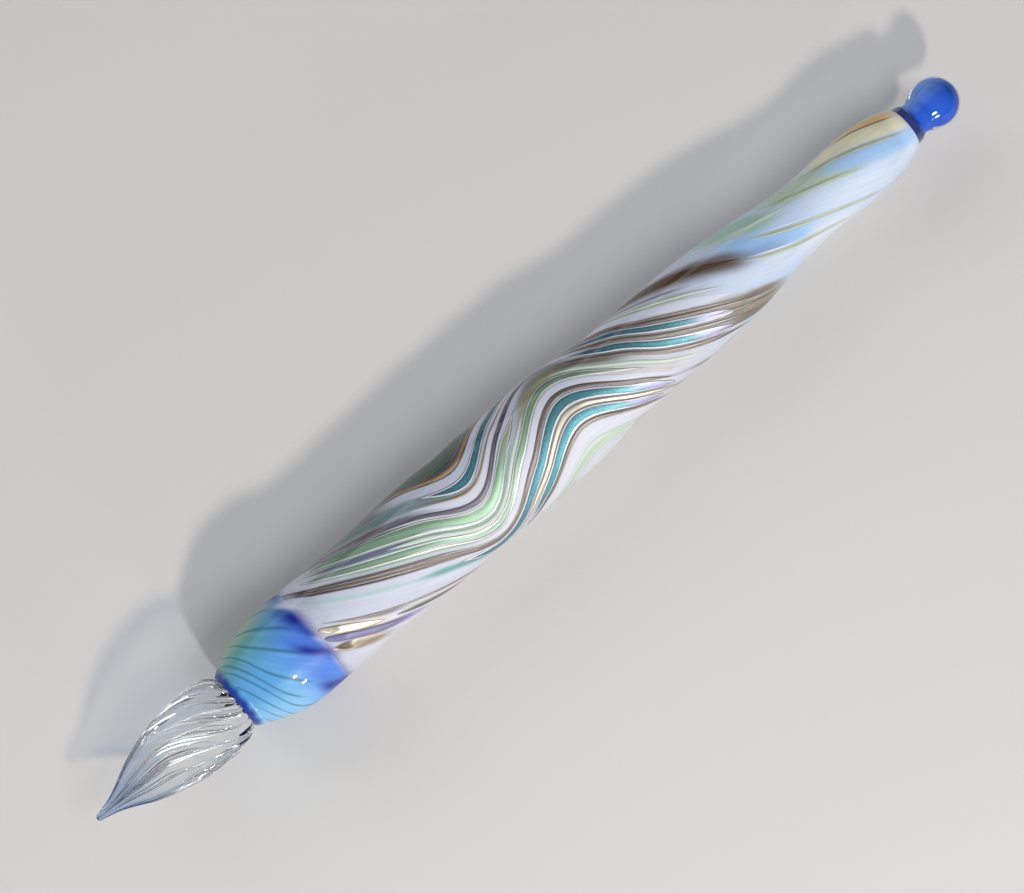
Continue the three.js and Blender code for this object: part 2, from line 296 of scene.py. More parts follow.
class CaneSettings(bpy.types.PropertyGroup):
    """The canes' heights and body colours."""

    height: glass_size("Height", "How far a cane stands above its rod", 0.1)
    teal: glass_colour("Teal", "Aventurine glass with sparkle", "036A78")
    celadon: glass_colour("Celadon", "Silver-fumed pale green", "66966E")
    dark_green: glass_colour("Dark green", "Silver-fumed dark green", "2F4C3A")
    pale_green: glass_colour("Pale green", "Green-white opal", "B8D4B4")
    brown: glass_colour("Brown", "Silver-fumed brown", "46332A")
    amber: glass_colour("Amber", "Honey-brown glass", "9C7448")
    tan: glass_colour("Tan", "Fumed beige glass", "80705C")
    umber: glass_colour("Umber", "Dark brown opal", "5C4634")
    aubergine: glass_colour("Aubergine", "Dark grey-violet", "453D4C")
    silver: glass_colour("Silver", "Silver-fumed white", "D6CCB8")
    lavender: glass_colour("Lavender", "Lavender opal", "8280B2")
    dense_white: glass_colour("Dense white", "White threads and bands", "DCDFEA")
    olive: glass_colour("Olive", "Threads round the tail", "949A76")


class EndSettings(bpy.types.PropertyGroup):
    """The neck and the ball."""

    ring: glass_colour("Ring", "Glass of the ring before the neck", "2C3478")
    blue: glass_colour("Blue", "Glass inside neck and ball", "2A5ED2")
    # Painted light: the ball's blue, painted paler on the side away from the key lamp, where it lies in shade
    painted_far_side_blue: glass_colour("Pale blue", "The same glass on the far side", "7AA4F0")
    skin: glass_size("Skin", "Clear glass over the blue of the ball", 1.25)


class StageSettings(bpy.types.PropertyGroup):
    """The floor, the lamps and the camera."""

    azimuth: view_angle("Azimuth", "Direction of the camera round the pen", -41.2)
    elevation: view_angle("Elevation", "Height of the camera above the floor, as an angle", 78)
    view_width: glass_size("View width", "Width of the view at the pen", 136.7)
    floor: glass_colour("Floor", "Colour of the plain floor", "DCDAD6")
    key_power: lamp_power("Key power", "Power of the small bright lamp", 1.8)
    satin_power: lamp_power("Satin power", "Power of the lamp that only the canes' satin mirrors", 4.0)
    strip_power: lamp_power("Strip power", "Power of the strip that draws a soft line on the skin", 0.5)
    soft_power: lamp_power("Soft power", "Power of the wide soft box", 1.5)
    fill_power: lamp_power("Fill power", "Power of the fill from behind", 2.3)
    room_light: bpy.props.FloatProperty(
        name="Room light", description="Strength of the room's light from straight above", min=0, default=0.42
    )


def set_inputs(node, inputs):
    """Sets a node's sockets, or links those whose value is another node's output."""
    for name, value in inputs.items():
        if isinstance(value, bpy.types.NodeSocket):
            node.id_data.links.new(value, node.inputs[name])
        else:
            node.inputs[name].default_value = value


def add_node(tree, kind, inputs=None, stops=None, output=0, **settings):
    """Adds a node with its settings, its ramp's stops and its inputs, and gives one output."""
    node = tree.nodes.new("ShaderNode" + kind)
    for name, value in settings.items():
        setattr(node, name, value)
    if stops:
        elements = node.color_ramp.elements
        elements.remove(elements[1])
        elements[0].position, elements[0].color = stops[0]
        for position, colour in stops[1:]:
            elements.new(position).color = colour
    set_inputs(node, inputs or {})
    return node.outputs[output]


# Settings of a Mix node for colours: its sockets are 0 factor, 6 first and 7 second colour, and its
# output 2
COLOURS = {"data_type": "RGBA", "output": 2}
# Settings of a Map Range node that eases in and out
EASED = {"interpolation_type": "SMOOTHSTEP"}


def streaks(tree, along, across):
    """Noise drawn out along the glass: its grain along and across the pen, in millimetres."""
    laid = add_node(tree, "Attribute", output="Vector", attribute_name="laid")
    drawn = add_node(tree, "Mapping", {"Vector": laid, "Scale": (1 / along, 1 / across, 1 / across)})
    return add_node(tree, "TexNoise", {"Vector": drawn, "Scale": 1.0, "Detail": 2.0})


def shaded(tree, colour, noise, ends, **easing):
    """A colour made darker and lighter by a noise, which a Map Range node brings to a share."""
    shade = add_node(tree, "MapRange", {"Value": noise} | ends, **easing)
    return add_node(tree, "Mix", {0: 1.0, 6: colour, 7: shade}, blend_type="MULTIPLY", **COLOURS)


def clouded(tree, colour, width, least):
    """A colour that is a little uneven in depth, in clouds of a width in millimetres."""
    position = add_node(tree, "TexCoord", output="Object")
    cloud = add_node(tree, "TexNoise", {"Vector": position, "Scale": 1 / (width * MM)})
    return shaded(tree, colour, cloud, {"To Min": least, "To Max": 1.2})


def along_pen(tree):
    """The distance along the pen, in millimetres."""
    position = add_node(tree, "TexCoord", output="Object")
    x = add_node(tree, "SeparateXYZ", {"Vector": position}, output="X")
    return add_node(tree, "Math", {0: x, 1: 1 / MM}, operation="MULTIPLY")


def painted_light_side(tree):
    """0 on the side that faces +Y, 1 on the side that faces -Y, by the piece's own normal."""
    # The lamps light the -Y side, so colours set by this share are painted light and shade
    normal = add_node(tree, "TexCoord", output="Normal")
    y = add_node(tree, "SeparateXYZ", {"Vector": normal}, output="Y")
    return add_node(tree, "MapRange", {"Value": y, "From Min": 1.0, "From Max": -1.0})


def new_material(name, **values):
    """A material with one Principled shader, whose plain sockets are set here."""
    material = bpy.data.materials.new(name)
    material.use_nodes = True
    shader = material.node_tree.nodes["Principled BSDF"]
    set_inputs(shader, {socket.replace("_", " "): value for socket, value in values.items()})
    return material, material.node_tree, shader


def glass_piece(name, grids, material, slot, *nodes):
    """Makes one closed mesh through grids of points, and puts it on the pen in place of its nodes.

    A grid is a dict of arrays over rows and columns: "points" in metres, and any attributes. Rows
    run towards +X and columns round the section, so faces point outwards. The last column joins
    the first, and at each end a fan to the mean point closes the body.
    """
    faces, uvs, values = [], [], {}
    first = 0
    for grid in grids:
        rows, columns = grid["points"].shape[:2]
        i, j = np.meshgrid(np.arange(rows - 1), np.arange(columns), indexing="ij")
        corners = [(i, j), (i, j + 1), (i + 1, j + 1), (i + 1, j)]
        quads = np.stack([row * columns + column % columns for row, column in corners], axis=-1)
        quad_uvs = [np.stack([column / columns, row / (rows - 1)], axis=-1) for row, column in corners]
        column = np.arange(columns)
        after = (column + 1) % columns
        centre = rows * columns
        last = centre - columns
        start = np.stack([after, column, np.full(columns, centre)], axis=-1)
        end = np.stack([last + column, last + after, np.full(columns, centre + 1)], axis=-1)
        across = np.stack([column, column + 1, column + 0.5], axis=-1) / columns
        along = np.zeros((columns, 3))
        for part in (quads.reshape(-1, 4), start, end):
            faces += (part + first).tolist()
        fan_uvs = [np.stack([across[:, [1, 0, 2]], along], axis=-1), np.stack([across, along + 1], axis=-1)]
        for part in (np.stack(quad_uvs, axis=-2), *fan_uvs):
            uvs.append(part.ravel())
        for key, field in grid.items():
            flat = field.reshape(centre, -1)
            ends = np.stack([field[0].mean(axis=0), field[-1].mean(axis=0)]).reshape(2, -1)
            values.setdefault(key, []).append(np.concatenate([flat, ends]))
        first += centre + 2
    mesh = bpy.data.meshes.new(name)
    mesh.from_pydata(np.concatenate(values.pop("points")).tolist(), [], faces)
    mesh.uv_layers.new(name="UVMap").data.foreach_set("uv", np.concatenate(uvs))
    for key, parts in values.items():
        field = np.concatenate(parts)
        kind, socket = ("FLOAT", "value") if field.shape[1] == 1 else ("FLOAT_VECTOR", "vector")
        mesh.attributes.new(key, kind, "POINT").data.foreach_set(socket, field.ravel())
    mesh.materials.append(material)
    mesh.shade_smooth()
    mesh.set_sharp_from_angle(angle=math.radians(SHARP_ANGLE))
    piece = bpy.data.objects.new(name, mesh)
    bpy.context.scene.collection.objects.link(piece)
    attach(piece, "root")
    if nodes:
        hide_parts(*nodes)
    return piece


def turned_grid(x, radius, columns=PLAIN_COLUMNS):
    """A body of revolution: the radius at each distance, carried round the axis."""
    degrees = np.linspace(0, 360, columns, endpoint=False)
    return {"points": round_points(x[:, None], radius[:, None], degrees[None, :])}


# The columns of a twisted body, in degrees before the twist
LAID = np.linspace(0, 360, PATTERN_COLUMNS, endpoint=False)[None, :]


def twisted_grid(x, radius):
    """A body of revolution whose columns follow the twist, so that patterns follow it too."""
    degrees = LAID + twist_at(x)[:, None] + ROLL
    x, radius = x[:, None], radius[:, None]
    return {"points": round_points(x, radius, degrees), "laid": laid_points(x, radius, LAID)}


# The front of the pen

# Cobalt patches: middle and half width in degrees before the twist, and the start in millimetres
# from the barrel's front
COBALT_PATCHES = [
    (103, 17, -3.4), (124, 9, -2.2), (149, 8, -4.6), (178, 13, -1.0), (210, 15, -4.8), (243, 12, -1.2),
    (274, 13, -4.0), (311, 12, -1.6), (345, 14, -4.1), (20, 10, -1.4), (52, 12, -3.0),
]
# The length over which a patch eases in, in millimetres
COBALT_SOFT = 2.4
# Where the white opal begins: its edge's distance from the barrel's front and its softness in mm,
# and its tongues as middle, reach in mm (towards the nib if negative) and half width in degrees
OPAL_START = 0.2
OPAL_SOFT = 2.2
OPAL_TONGUES = [
    (80, -1.6, 8), (132, -0.4, 4), (150, 0.5, 7), (209, 0.9, 14), (275, 0.7, 14), (345, 0.8, 14),
]

# Thin dark lines in the shoulder: degrees before the twist, and shares of its length
SHOULDER_LINES = [
    (117, 0.42, 0.98), (152, 0.25, 0.9), (195, 0.1, 0.72), (226, 0.04, 0.5), (250, 0.14, 0.72),
    (288, 0.1, 0.8), (322, 0.2, 0.9), (0, 0.15, 0.75), (38, 0.2, 0.85), (80, 0.3, 0.95),
]
# How much a millimetre past a line's end counts, so that its tips fade out slowly
LINE_FADE = 0.25
# How far the ring's blue runs into the shoulder, its waves' height and how soft it ends, in mm
RING_REACH = 0.85
RING_WAVE = 0.1
RING_SOFT = 1.0
# How much the ring swells from its front edge, as a share of its radius
RING_SWELL = 0.14
# Where the tip's tint fades out, in mm from the tip, and where the sky blue turns to cornflower, in
# mm from the shoulder's end
TIP_FADE = (1, 14)
CORNFLOWER_FADE = (-4.5, 1.5)


def cobalt_share(x, laid):
    """How deep the cobalt is: patches that melt together, each a bell across and eased in."""
    clear = 1.0
    for middle, half_width, start in COBALT_PATCHES:
        across = np.exp(-((turn_between(laid, middle) / half_width) ** 2))
        clear = clear * (1 - across * smooth_step((x - BARREL_START - start) / COBALT_SOFT))
    return 1 - clear


def opal_share(x, laid):
    """0 in the blue glass and 1 in the white: an eased edge, drawn out into tongues."""
    edge = BARREL_START + OPAL_START
    for middle, reach, half_width in OPAL_TONGUES:
        edge = edge + reach * np.exp(-((turn_between(laid, middle) / half_width) ** 2))
    return smooth_step((x - edge) / OPAL_SOFT + 0.5)


def line_gap(x, radius, laid):
    """The distance in millimetres to the nearest dark line of the shoulder."""
    length = SHOULDER_END - ROOT_RING_END
    share = (x - ROOT_RING_END) / length
    gaps = []
    for middle, start, end in SHOULDER_LINES:
        across = np.radians(turn_between(laid, middle)) * radius
        past = np.maximum(np.maximum(start - share, share - end), 0) * length
        gaps.append(np.hypot(across, LINE_FADE * past))
    return np.minimum.reduce(gaps)


def coloured_body(x, radius):
    """A stretch of the front, with the fields that its pattern reads.

    "ring" is 1 beside the nib and eases to 0 along a waved edge, one wave to each rib.
    """
    grid = twisted_grid(x, radius)
    x = x[:, None]
    grid["line_gap"] = line_gap(x, radius[:, None], LAID)
    grid["cobalt"] = cobalt_share(x, LAID)
    grid["opal"] = opal_share(x, LAID)
    edge = NIB_END + RING_REACH + RING_WAVE * np.cos(np.radians(LAID) * RIB_COUNT)
    grid["ring"] = 1 - smooth_step((x - edge) / RING_SOFT + 0.5)
    return grid


def let_lamps_through(tree, shader, colour):
    """Lets lamps shine through glass as real glass does, so that its shadow stays light."""
    shadow = add_node(tree, "LightPath", output="Is Shadow Ray")
    open_glass = add_node(tree, "BsdfTransparent", {"Color": colour})
    mixed = add_node(tree, "MixShader", {0: shadow, 1: shader.outputs[0], 2: open_glass})
    set_inputs(tree.nodes["Material Output"], {"Surface": mixed})


def ribbed_borosilicate_glass(tint):
    """Clear borosilicate glass, drawn and twisted hot.

    Its ribs bend what is behind them into bright and dark threads. Near the tip, where they are
    finest, the glass is tinted a trace of blue: a painted tint for the light that they scatter.
    """
    material, tree, shader = new_material("ribbed_borosilicate_glass", Roughness=0.0, **CLEAR_GLASS)
    start, end = (NIB_START + place for place in TIP_FADE)
    ends = {"Value": along_pen(tree), "From Min": start, "From Max": end}
    clear = add_node(tree, "MapRange", ends, **EASED)
    tinted = add_node(tree, "Mix", {0: clear, 6: tint, 7: CLEAR_GLASS["Base_Color"]}, **COLOURS)
    set_inputs(shader, {"Base Color": tinted})
    let_lamps_through(tree, shader, linear("E2E9F0"))
    return material


def fused_blue_glass(name, colour):
    """Dense blue glass, melted smooth: deep colour under a hard gloss, a little uneven in depth."""
    material, tree, shader = new_material(name, Roughness=0.2, Coat_Weight=1.0, Coat_Roughness=0.02)
    set_inputs(shader, {"Base Color": clouded(tree, colour, 1.5, 0.75)})
    return material


def sky_and_cobalt_glass(name, settings):
    """Sky-blue opal glass that runs into cobalt, melted and turned in the flame.

    The opal is milky, so it has no hard depth, and the twist draws its streaks and dark lines
    out. Fire polishing leaves a hard gloss.
    """
    gloss = {"Specular_IOR_Level": 0.2, "Coat_Weight": 0.4, "Coat_Roughness": 0.02}
    material, tree, shader = new_material(name, Roughness=0.35, **gloss)
    # Painted light by side: the opal is palest on the side that faces the lamps, and greener, then
    # yellow-green, towards the far side, as lit and unlit looks of one glass. The cornflower is painted
    # weaker on the far side too.
    painted_side_tones = [(0.0, "leaf"), (0.2, "sea"), (0.48, "sky"), (0.7, "sky"), (0.95, "light_sky")]
    side = painted_light_side(tree)
    stops = [(position, getattr(settings, tone)) for position, tone in painted_side_tones]
    colour = add_node(tree, "ValToRGB", {"Fac": side}, stops)
    most = add_node(tree, "MapRange", {"Value": side, "From Max": 0.5, "To Min": 0.3})
    start, end = (SHOULDER_END + place for place in CORNFLOWER_FADE)
    ends = {"Value": along_pen(tree), "From Min": start, "From Max": end, "To Max": most}
    deep = add_node(tree, "MapRange", ends, **EASED)
    grain = {"Value": streaks(tree, 6, 1.2), "From Min": 0.35, "From Max": 0.8, "To Max": 0.3}
    milky = add_node(tree, "MapRange", grain, **EASED)
    gap, cobalt, opal, ring = (
        add_node(tree, "Attribute", output="Fac", attribute_name=field)
        for field in ("line_gap", "cobalt", "opal", "ring")
    )
    near = {"Value": gap, "From Min": 0.08, "From Max": 0.55, "To Min": 0.6, "To Max": 0.0}
    line = add_node(tree, "MapRange", near, **EASED)
    # Each colour is laid over those before it
    for share, over in (
        (deep, settings.cornflower),
        (milky, settings.light_sky),
        (line, settings.line),
        (cobalt, settings.cobalt),
        (opal, linear(WHITE_OPAL)),
        (ring, settings.ring),
    ):
        colour = add_node(tree, "Mix", {0: share, 6: colour, 7: over}, **COLOURS)
    set_inputs(shader, {"Base Color": colour})
    return material


class PEN_OT_nib(bpy.types.Operator):
    """Add the ribbed nib, from its ball tip to the lobes at its root"""

    bl_idname = "pen.nib"
    bl_label = "Ribbed nib"

    def execute(self, context):
        settings = context.scene.pen_nib
        grid = ribbed_grid(settings.rib_depth / MM, settings.lobe_length / MM, settings.tip_radius / MM)
        material = ribbed_borosilicate_glass(settings.tip_tint)
        nib = glass_piece("ribbed_nib", [grid], material, "clear_glass", "nib")
        # The lamps shine through its material, and bent light would count them twice
        nib.visible_diffuse = False
        return {"FINISHED"}


def ribbed_grid(rib_depth, lobe_length, tip_radius):
    """The nib as a surface round its axis.

    Its crest follows the CAD nib. Across a rib, the groove is 1 - |sin| of half the rib's phase,
    and the ribs turn by a power of the distance. The tip is a small ball, and behind, each rib
    ends in a lobe whose height over the root falls with the square root of 1 - t squared.
    """
    crest = outline("nib", sides=None)
    length = NIB_END - NIB_START
    # The rows start this angle off the ball's pole, which the closing fan covers
    off_pole = 0.15
    x = np.concatenate([
        NIB_START + tip_radius * (1 - np.cos(np.linspace(off_pole, math.pi / 2, 10))),
        np.linspace(NIB_START + tip_radius, NIB_END - lobe_length, 150)[1:],
        NIB_END - lobe_length * (1 - np.sin(np.linspace(0, math.pi / 2, 24)))[1:],
    ])[:, None]
    place = (x - NIB_START) / length
    turn = NIB_TWIST * np.clip((place - NIB_TWIST_START) / (1 - NIB_TWIST_START), 0, None) ** NIB_TWIST_POWER
    degrees = np.linspace(0, 360, RIB_COUNT * RIB_COLUMNS, endpoint=False)[None, :]
    groove = 1 - np.abs(np.sin(np.radians(degrees) * RIB_COUNT / 2)) ** GROOVE_POWER
    widest = crest(x).max()
    radius = crest(x) * (1 - rib_depth / widest * groove)
    ball = np.sqrt(1 - np.clip(1 - (x - NIB_START) / tip_radius, 0, 1) ** 2)
    root = ROOT_SHARE * crest(NIB_END)
    t = np.clip((x - NIB_END + lobe_length) / lobe_length * (1 + GROOVE_LEAD * groove), 0, 1)
    lobes = root + (radius - root) * np.sqrt(1 - t**2)
    radius = np.where(x > NIB_END - lobe_length, lobes, radius * ball)
    return {"points": round_points(x, radius, degrees + turn)}


def ring_radius(x):
    """The radius of the ring behind the nib, which swells from its front edge in a quarter sine."""
    share = (x - NIB_END) / (ROOT_RING_END - NIB_END)
    return outline("nib_root_ring")(x) * (1 - RING_SWELL * (1 - np.sin(share * math.pi / 2)))


class PEN_OT_front(bpy.types.Operator):
    """Add the ring behind the nib, the sky-blue shoulder and the cobalt band"""

    bl_idname = "pen.front"
    bl_label = "Blue front"

    def execute(self, context):
        ring = np.linspace(NIB_END, ROOT_RING_END, 16)
        front = np.linspace(ROOT_RING_END, SHOULDER_END, 120)
        band = np.linspace(SHOULDER_END, BARREL_START, 60)
        for name, node, slot, glass, x, radius_at in (
            ("root_ring", "nib_root_ring", "ink_blue_glass", "fused_ink_blue_glass", ring, ring_radius),
            ("blue_shoulder", "front_shoulder", "sky_opal_glass", "sky_blue_opal_glass", front, body_radius),
            ("cobalt_glass_band", "cobalt_band", "cobalt_glass", "cobalt_glass", band, body_radius),
        ):
            material = sky_and_cobalt_glass(glass, context.scene.pen_front)
            glass_piece(name, [coloured_body(x, radius_at(x))], material, slot, node)
        return {"FINISHED"}


# The barrel and tail

# Soft bands in the opal, under the canes, painted in this order. A row is the places where the
# band starts and ends, its middle in degrees before the twist at each of them, its half width and
# the softness of its edges in degrees, its colour, and how strongly it covers.
BANDS = [
    # The side that lies down in the front view
    (0.05, 0.8, -170, -170, 16, 8, "E6E8F2", 0.7),
    (0.06, 0.74, -104, -104, 6, 3, "8C7A6E", 0.8),
    (0.26, 0.78, -118, -118, 9, 3, "C9CCD8", 0.8),
    (0.18, 0.66, -129, -129, 4, 2, "9A98C8", 0.7),
    (0.08, 0.72, -140, -140, 8, 3, "A9C9AE", 0.8),
    (0.3, 0.8, -96, -96, 5, 2, "C4B8A4", 0.8),
    # Front of the barrel, from the far side to the near one
    # The first three rows are partly the glass's own dark bands and partly painted shade and a painted dark
    # reflection, as they lie on the far edge in the front view
    (-0.06, 0.3, -34, -34, 30, 10, "4A504A", 0.85),
    (-0.02, 0.46, -12, -14, 9, 5, "5E8278", 0.8),
    (-0.04, 0.34, 4, 4, 6, 4, "5E5248", 0.9),
    (0.02, 0.36, 31, 31, 7, 4, "8E8A9C", 0.85),
    (0.02, 0.56, 20, 26, 10, 5, "8FB79A", 0.9),
    (0.06, 0.4, 46, 44, 9, 3, "9CC4A8", 0.9),
    (-0.04, 0.36, 64, 63, 6, 2.5, "6E574C", 0.92),
    (-0.04, 0.3, 69.5, 67, 1.6, 1.2, "34262C", 0.9),
    (-0.02, 0.24, 82, 82, 3.5, 2, "B4D3D2", 0.8),
    (0.18, 0.42, 82, 79, 4.5, 2.5, "58AAA0", 0.85),
    (0.02, 0.5, 115, 104, 3, 2.5, "84706E", 0.85),
    (-0.01, 0.16, 123, 122, 8, 3, "F0EADD", 0.8),
    (0.1, 0.5, 121, 121, 10, 3, "EEECEF", 0.9),
    (0.0, 0.14, 128.5, 128, 2, 1.5, "94795A", 0.85),
    (-0.02, 0.24, 134.5, 134, 5.5, 2, "9795CC", 0.9),
    (0.0, 0.22, 129.6, 129.6, 1, 0.8, "4E3F54", 0.85),
    (0.0, 0.2, 140, 139.5, 1, 0.8, "54454C", 0.85),
    (-0.01, 0.15, 149, 149, 9, 3, "AD9A84", 0.9),
    (0.12, 0.8, 146, 148, 8, 4, "EEEFF3", 0.8),
    # Middle of the barrel
    # A green band, partly its own dark green and partly painted shade, where it lies on the far side
    (0.14, 0.54, -66, -66, 22, 6, "4A5A4C", 0.92),
    (0.2, 0.58, -43.5, -42, 4, 2, "7E6552", 0.9),
    (0.2, 0.52, -39.5, -39.5, 1.5, 1, "382C36", 0.85),
    (0.48, 0.68, -32, -28, 12, 6, "A08F80", 0.85),
    (0.3, 0.58, -10, -4, 2, 1.5, "B48F5E", 0.9),
    (0.46, 0.66, -4, 8, 4, 3, "7E6650", 0.9),
    (0.54, 0.74, 4, 14, 8, 5, "4E5A56", 0.8),
    (0.2, 0.68, 5, 9, 2.5, 1.5, "5E5662", 0.9),
    (0.2, 0.62, 9.5, 12, 1, 0.8, "E4E2DE", 0.9),
    (0.5, 0.76, 33, 35, 12, 6, "92935F", 0.92),
    (0.54, 0.82, 22, 24, 7, 5, "645C4C", 0.9),
    (0.08, 0.5, 51, 50, 1.2, 0.8, "8C7C72", 0.85),
    (0.3, 0.88, 63, 62.5, 1.7, 1, "5E4A48", 0.92),
    (0.34, 0.88, 66.8, 66.8, 1.2, 0.8, "E6E2E2", 0.9),
    (0.4, 0.88, 88.5, 88.5, 5.5, 2, "B9BAC8", 0.92),
    (0.44, 0.86, 87, 87, 0.9, 0.6, "5A5262", 0.85),
    (0.44, 0.86, 91, 91, 0.9, 0.6, "4C4450", 0.85),
    (0.4, 0.86, 109.5, 109.5, 2, 1, "403028", 0.92),
    (0.4, 0.86, 113.2, 113.2, 2.5, 1.5, "AE9C82", 0.85),
    (0.36, 0.88, 143, 143, 10, 4, "BCD8BC", 0.85),
    (0.4, 0.92, 158, 158, 8, 5, "D0DBF4", 0.7),
    (0.56, 0.9, 48, 47, 3, 2.5, "D4C4B4", 0.6),
    # Rear of the barrel
    (0.62, 0.92, 36, 34, 6, 4, "BFCBAC", 0.8),
    (0.64, 0.86, -44, -42, 8, 5, "A08878", 0.85),
    (0.72, 1.02, -59, -60, 5, 3, "AEB784", 0.85),
    (0.74, 1.0, -71, -73, 2, 1.5, "3A2C34", 0.75),
    # Each brown band here has a cream line along its middle, which is a painted satin highlight where the
    # band catches the light
    (0.64, 1.04, -31, -31, 4.5, 2, "88735F", 0.92),
    (0.84, 1.04, -31, -31, 2.6, 1.5, "EDE5D6", 0.85),
    (0.66, 1.04, -7.5, -7.5, 5, 2, "A38C72", 0.92),
    (0.8, 0.98, -8, -8, 2.2, 1.2, "EFE7D8", 0.8),
    (0.62, 1.04, 18, 18, 5, 2, "8F7B64", 0.92),
    (0.78, 0.92, 18.5, 18.5, 2.6, 1.2, "EFE6D6", 0.85),
    (0.92, 1.32, -15, -18, 25, 8, "94846C", 0.9),
    (0.98, 1.3, -33, -36, 6, 5, "6E5C4A", 0.7),
    (0.96, 1.28, 4, 0, 5, 4, "6E5C4A", 0.7),
    (0.94, 1.24, -4, -6, 3, 2, "746452", 0.8),
    (0.94, 1.24, -28, -30, 3, 2, "B9AE9E", 0.8),
    (0.82, 1.02, 60, 66, 4, 3, "4A4468", 0.7),
    # Tail
    (0.92, 1.6, -76, -84, 22, 10, "D3E0F3", 0.9),
    (1.02, 1.55, -112, -116, 21, 10, "9CC8F4", 0.9),
    (1.12, 1.38, -99, -102, 11, 8, "8CA6CC", 0.75),
    (0.68, 1.26, -95, -97, 16, 10, "5C4634", 0.95),
    (0.98, 1.44, -160, -166, 24, 9, "A4CDB8", 0.92),
    (1.26, 1.84, -206, -214, 30, 10, "C0D3B4", 0.9),
    (1.5, 2.1, -262, -268, 30, 12, "F4ECC0", 0.9),
    (1.66, 2.1, -298, -300, 14, 8, "EEB84C", 0.9),
    (1.74, 2.06, -281, -281, 4, 3, "B98A44", 0.7),
    (1.02, 1.5, -128, -180, 4, 3, "DCE8C6", 0.8),
    (1.54, 2.1, -214, -218, 20, 10, "A6CEF8", 0.9),
    (1.4, 2.1, -160, -160, 26, 10, "D6E4F7", 0.9),
    (1.3, 2.1, -60, -60, 50, 12, "E2E9F6", 0.9),
    (1.1, 1.68, -91, -91, 4.5, 3, "B9C0B2", 0.85),
    (1.16, 1.84, -127, -125, 4.5, 3, "B9C2B4", 0.85),
    (1.28, 1.8, -191, -191, 4, 3, "A2A87C", 0.85),
    (1.48, 2.02, -231, -232, 4.5, 3, "A3A276", 0.85),
    # Two thin white lines beside olive threads: painted highlights where the threads catch the light
    (1.12, 1.42, -95.5, -96.5, 1.1, 0.8, "F6FAFE", 0.95),
    (1.18, 1.54, -132.5, -134, 1.1, 0.8, "F2F7FA", 0.95),
]
# How far from its tips a band fades: in millimetres, and at most as a share of its length
BAND_FADE = 6.0
BAND_FADE_SHARE = 0.45
# A band's width at its tips, as a share of its full width
BAND_TIP_WIDTH = 0.4
# The rods' own colour runs from the barrel's to the tail's over this length, and starts so far
# before the tail, in millimetres
TINT_LENGTH = 12
TINT_START = 5


def painted_tint(x, laid, barrel, tail):
    """The colour of the opal over distances and degrees before the twist.

    It turns from the barrel's colour to the tail's, and each band is laid over it in turn. A
    band's mask is an eased edge across, times an eased fade at both tips, where it narrows too.
    """
    rows = smooth_step((x - BARREL_END + TINT_START) / TINT_LENGTH)[..., None]
    colour = np.array(barrel)[:3] * (1 - rows) + np.array(tail)[:3] * rows
    colour = np.broadcast_to(colour, np.broadcast_shapes(x.shape, laid.shape) + (3,))
    for start, end, from_middle, to_middle, half_width, soft, over, strength in BANDS:
        from_x, to_x = distance(start), distance(end)
        fade = min(BAND_FADE, BAND_FADE_SHARE * (to_x - from_x))
        tip = smooth_step(np.minimum(x - from_x, to_x - x) / fade)
        middle = from_middle + (to_middle - from_middle) * (x - from_x) / (to_x - from_x)
        gap = np.abs(turn_between(laid, middle))
        reach = half_width * (BAND_TIP_WIDTH + (1 - BAND_TIP_WIDTH) * tip)
        mask = tip * smooth_step((reach + soft - gap) / (2 * soft))
        colour = colour + (strength * mask)[..., None] * (np.array(linear(over))[:3] - colour)
    return colour


def painted_rod(x, radius, rods, front):
    """A stretch of the opal rod, with the colour of its bands and the blue that runs into it."""
    grid = twisted_grid(x, radius)
    tint = painted_tint(x[:, None], LAID, rods.white, rods.blue)
    blue = (1 - opal_share(x[:, None], LAID))[..., None]
    grid["tint"] = tint * (1 - blue) + np.array(front.cobalt)[:3] * blue
    return grid


def milky_opal_glass(name, veil, grain_depth):
    """Opal glass, milky right through, drawn out with its bands while hot.

    It scatters light inside, so it looks soft and even, with faint streaks along the twist. The
    clear glass is fused to it, so it has no sheen of its own.
    """
    material, tree, shader = new_material(name, Specular_IOR_Level=0.1, Roughness=0.5)
    tint = add_node(tree, "Attribute", output="Color", attribute_name="tint")
    ends = {"Value": streaks(tree, 16, 0.9), "From Min": 0.45, "From Max": 0.75, "To Max": 2.2 * grain_depth}
    faint = add_node(tree, "MapRange", ends, **EASED)
    colour = add_node(tree, "Mix", {0: faint, 6: tint, 7: veil}, **COLOURS)
    ends = {"From Min": 0.3, "From Max": 0.7, "To Min": 1 - grain_depth}
    set_inputs(shader, {"Base Color": shaded(tree, colour, streaks(tree, 24, 0.4), ends, **EASED)})
    return material


def clear_borosilicate_glass():
    """Clear glass, fire-polished: a hard even gloss, and the canes below it look larger."""
    return new_material("clear_borosilicate_glass", Roughness=0.03, **CLEAR_GLASS)[0]


# The spacing of the rods' rows, in millimetres
ROD_ROW = 0.3


class PEN_OT_rods(bpy.types.Operator):
    """Add the opal rods that fill barrel and tail, with their soft bands"""

    bl_idname = "pen.rods"
    bl_label = "Opal rods"

    def execute(self, context):
        settings = context.scene.pen_rods
        for name, node, slot, start, end, grain_depth in (
            ("white_opal_rod", "opal_core", "white_opal_glass", BARREL_START, BARREL_END, 0.1),
            ("pale_sky_opal_rod", "tail_core", "pale_sky_opal_glass", BARREL_END, TAIL_END, 0.05),
        ):
            x = np.linspace(start, end, int((end - start) / ROD_ROW))
            radius = rod_radius(x, settings.skin_depth / MM)
            grid = painted_rod(x, radius, settings, context.scene.pen_front)
            material = milky_opal_glass(name.replace("rod", "glass"), settings.veil, grain_depth)
            glass_piece(name, [grid], material, slot, node)
        return {"FINISHED"}


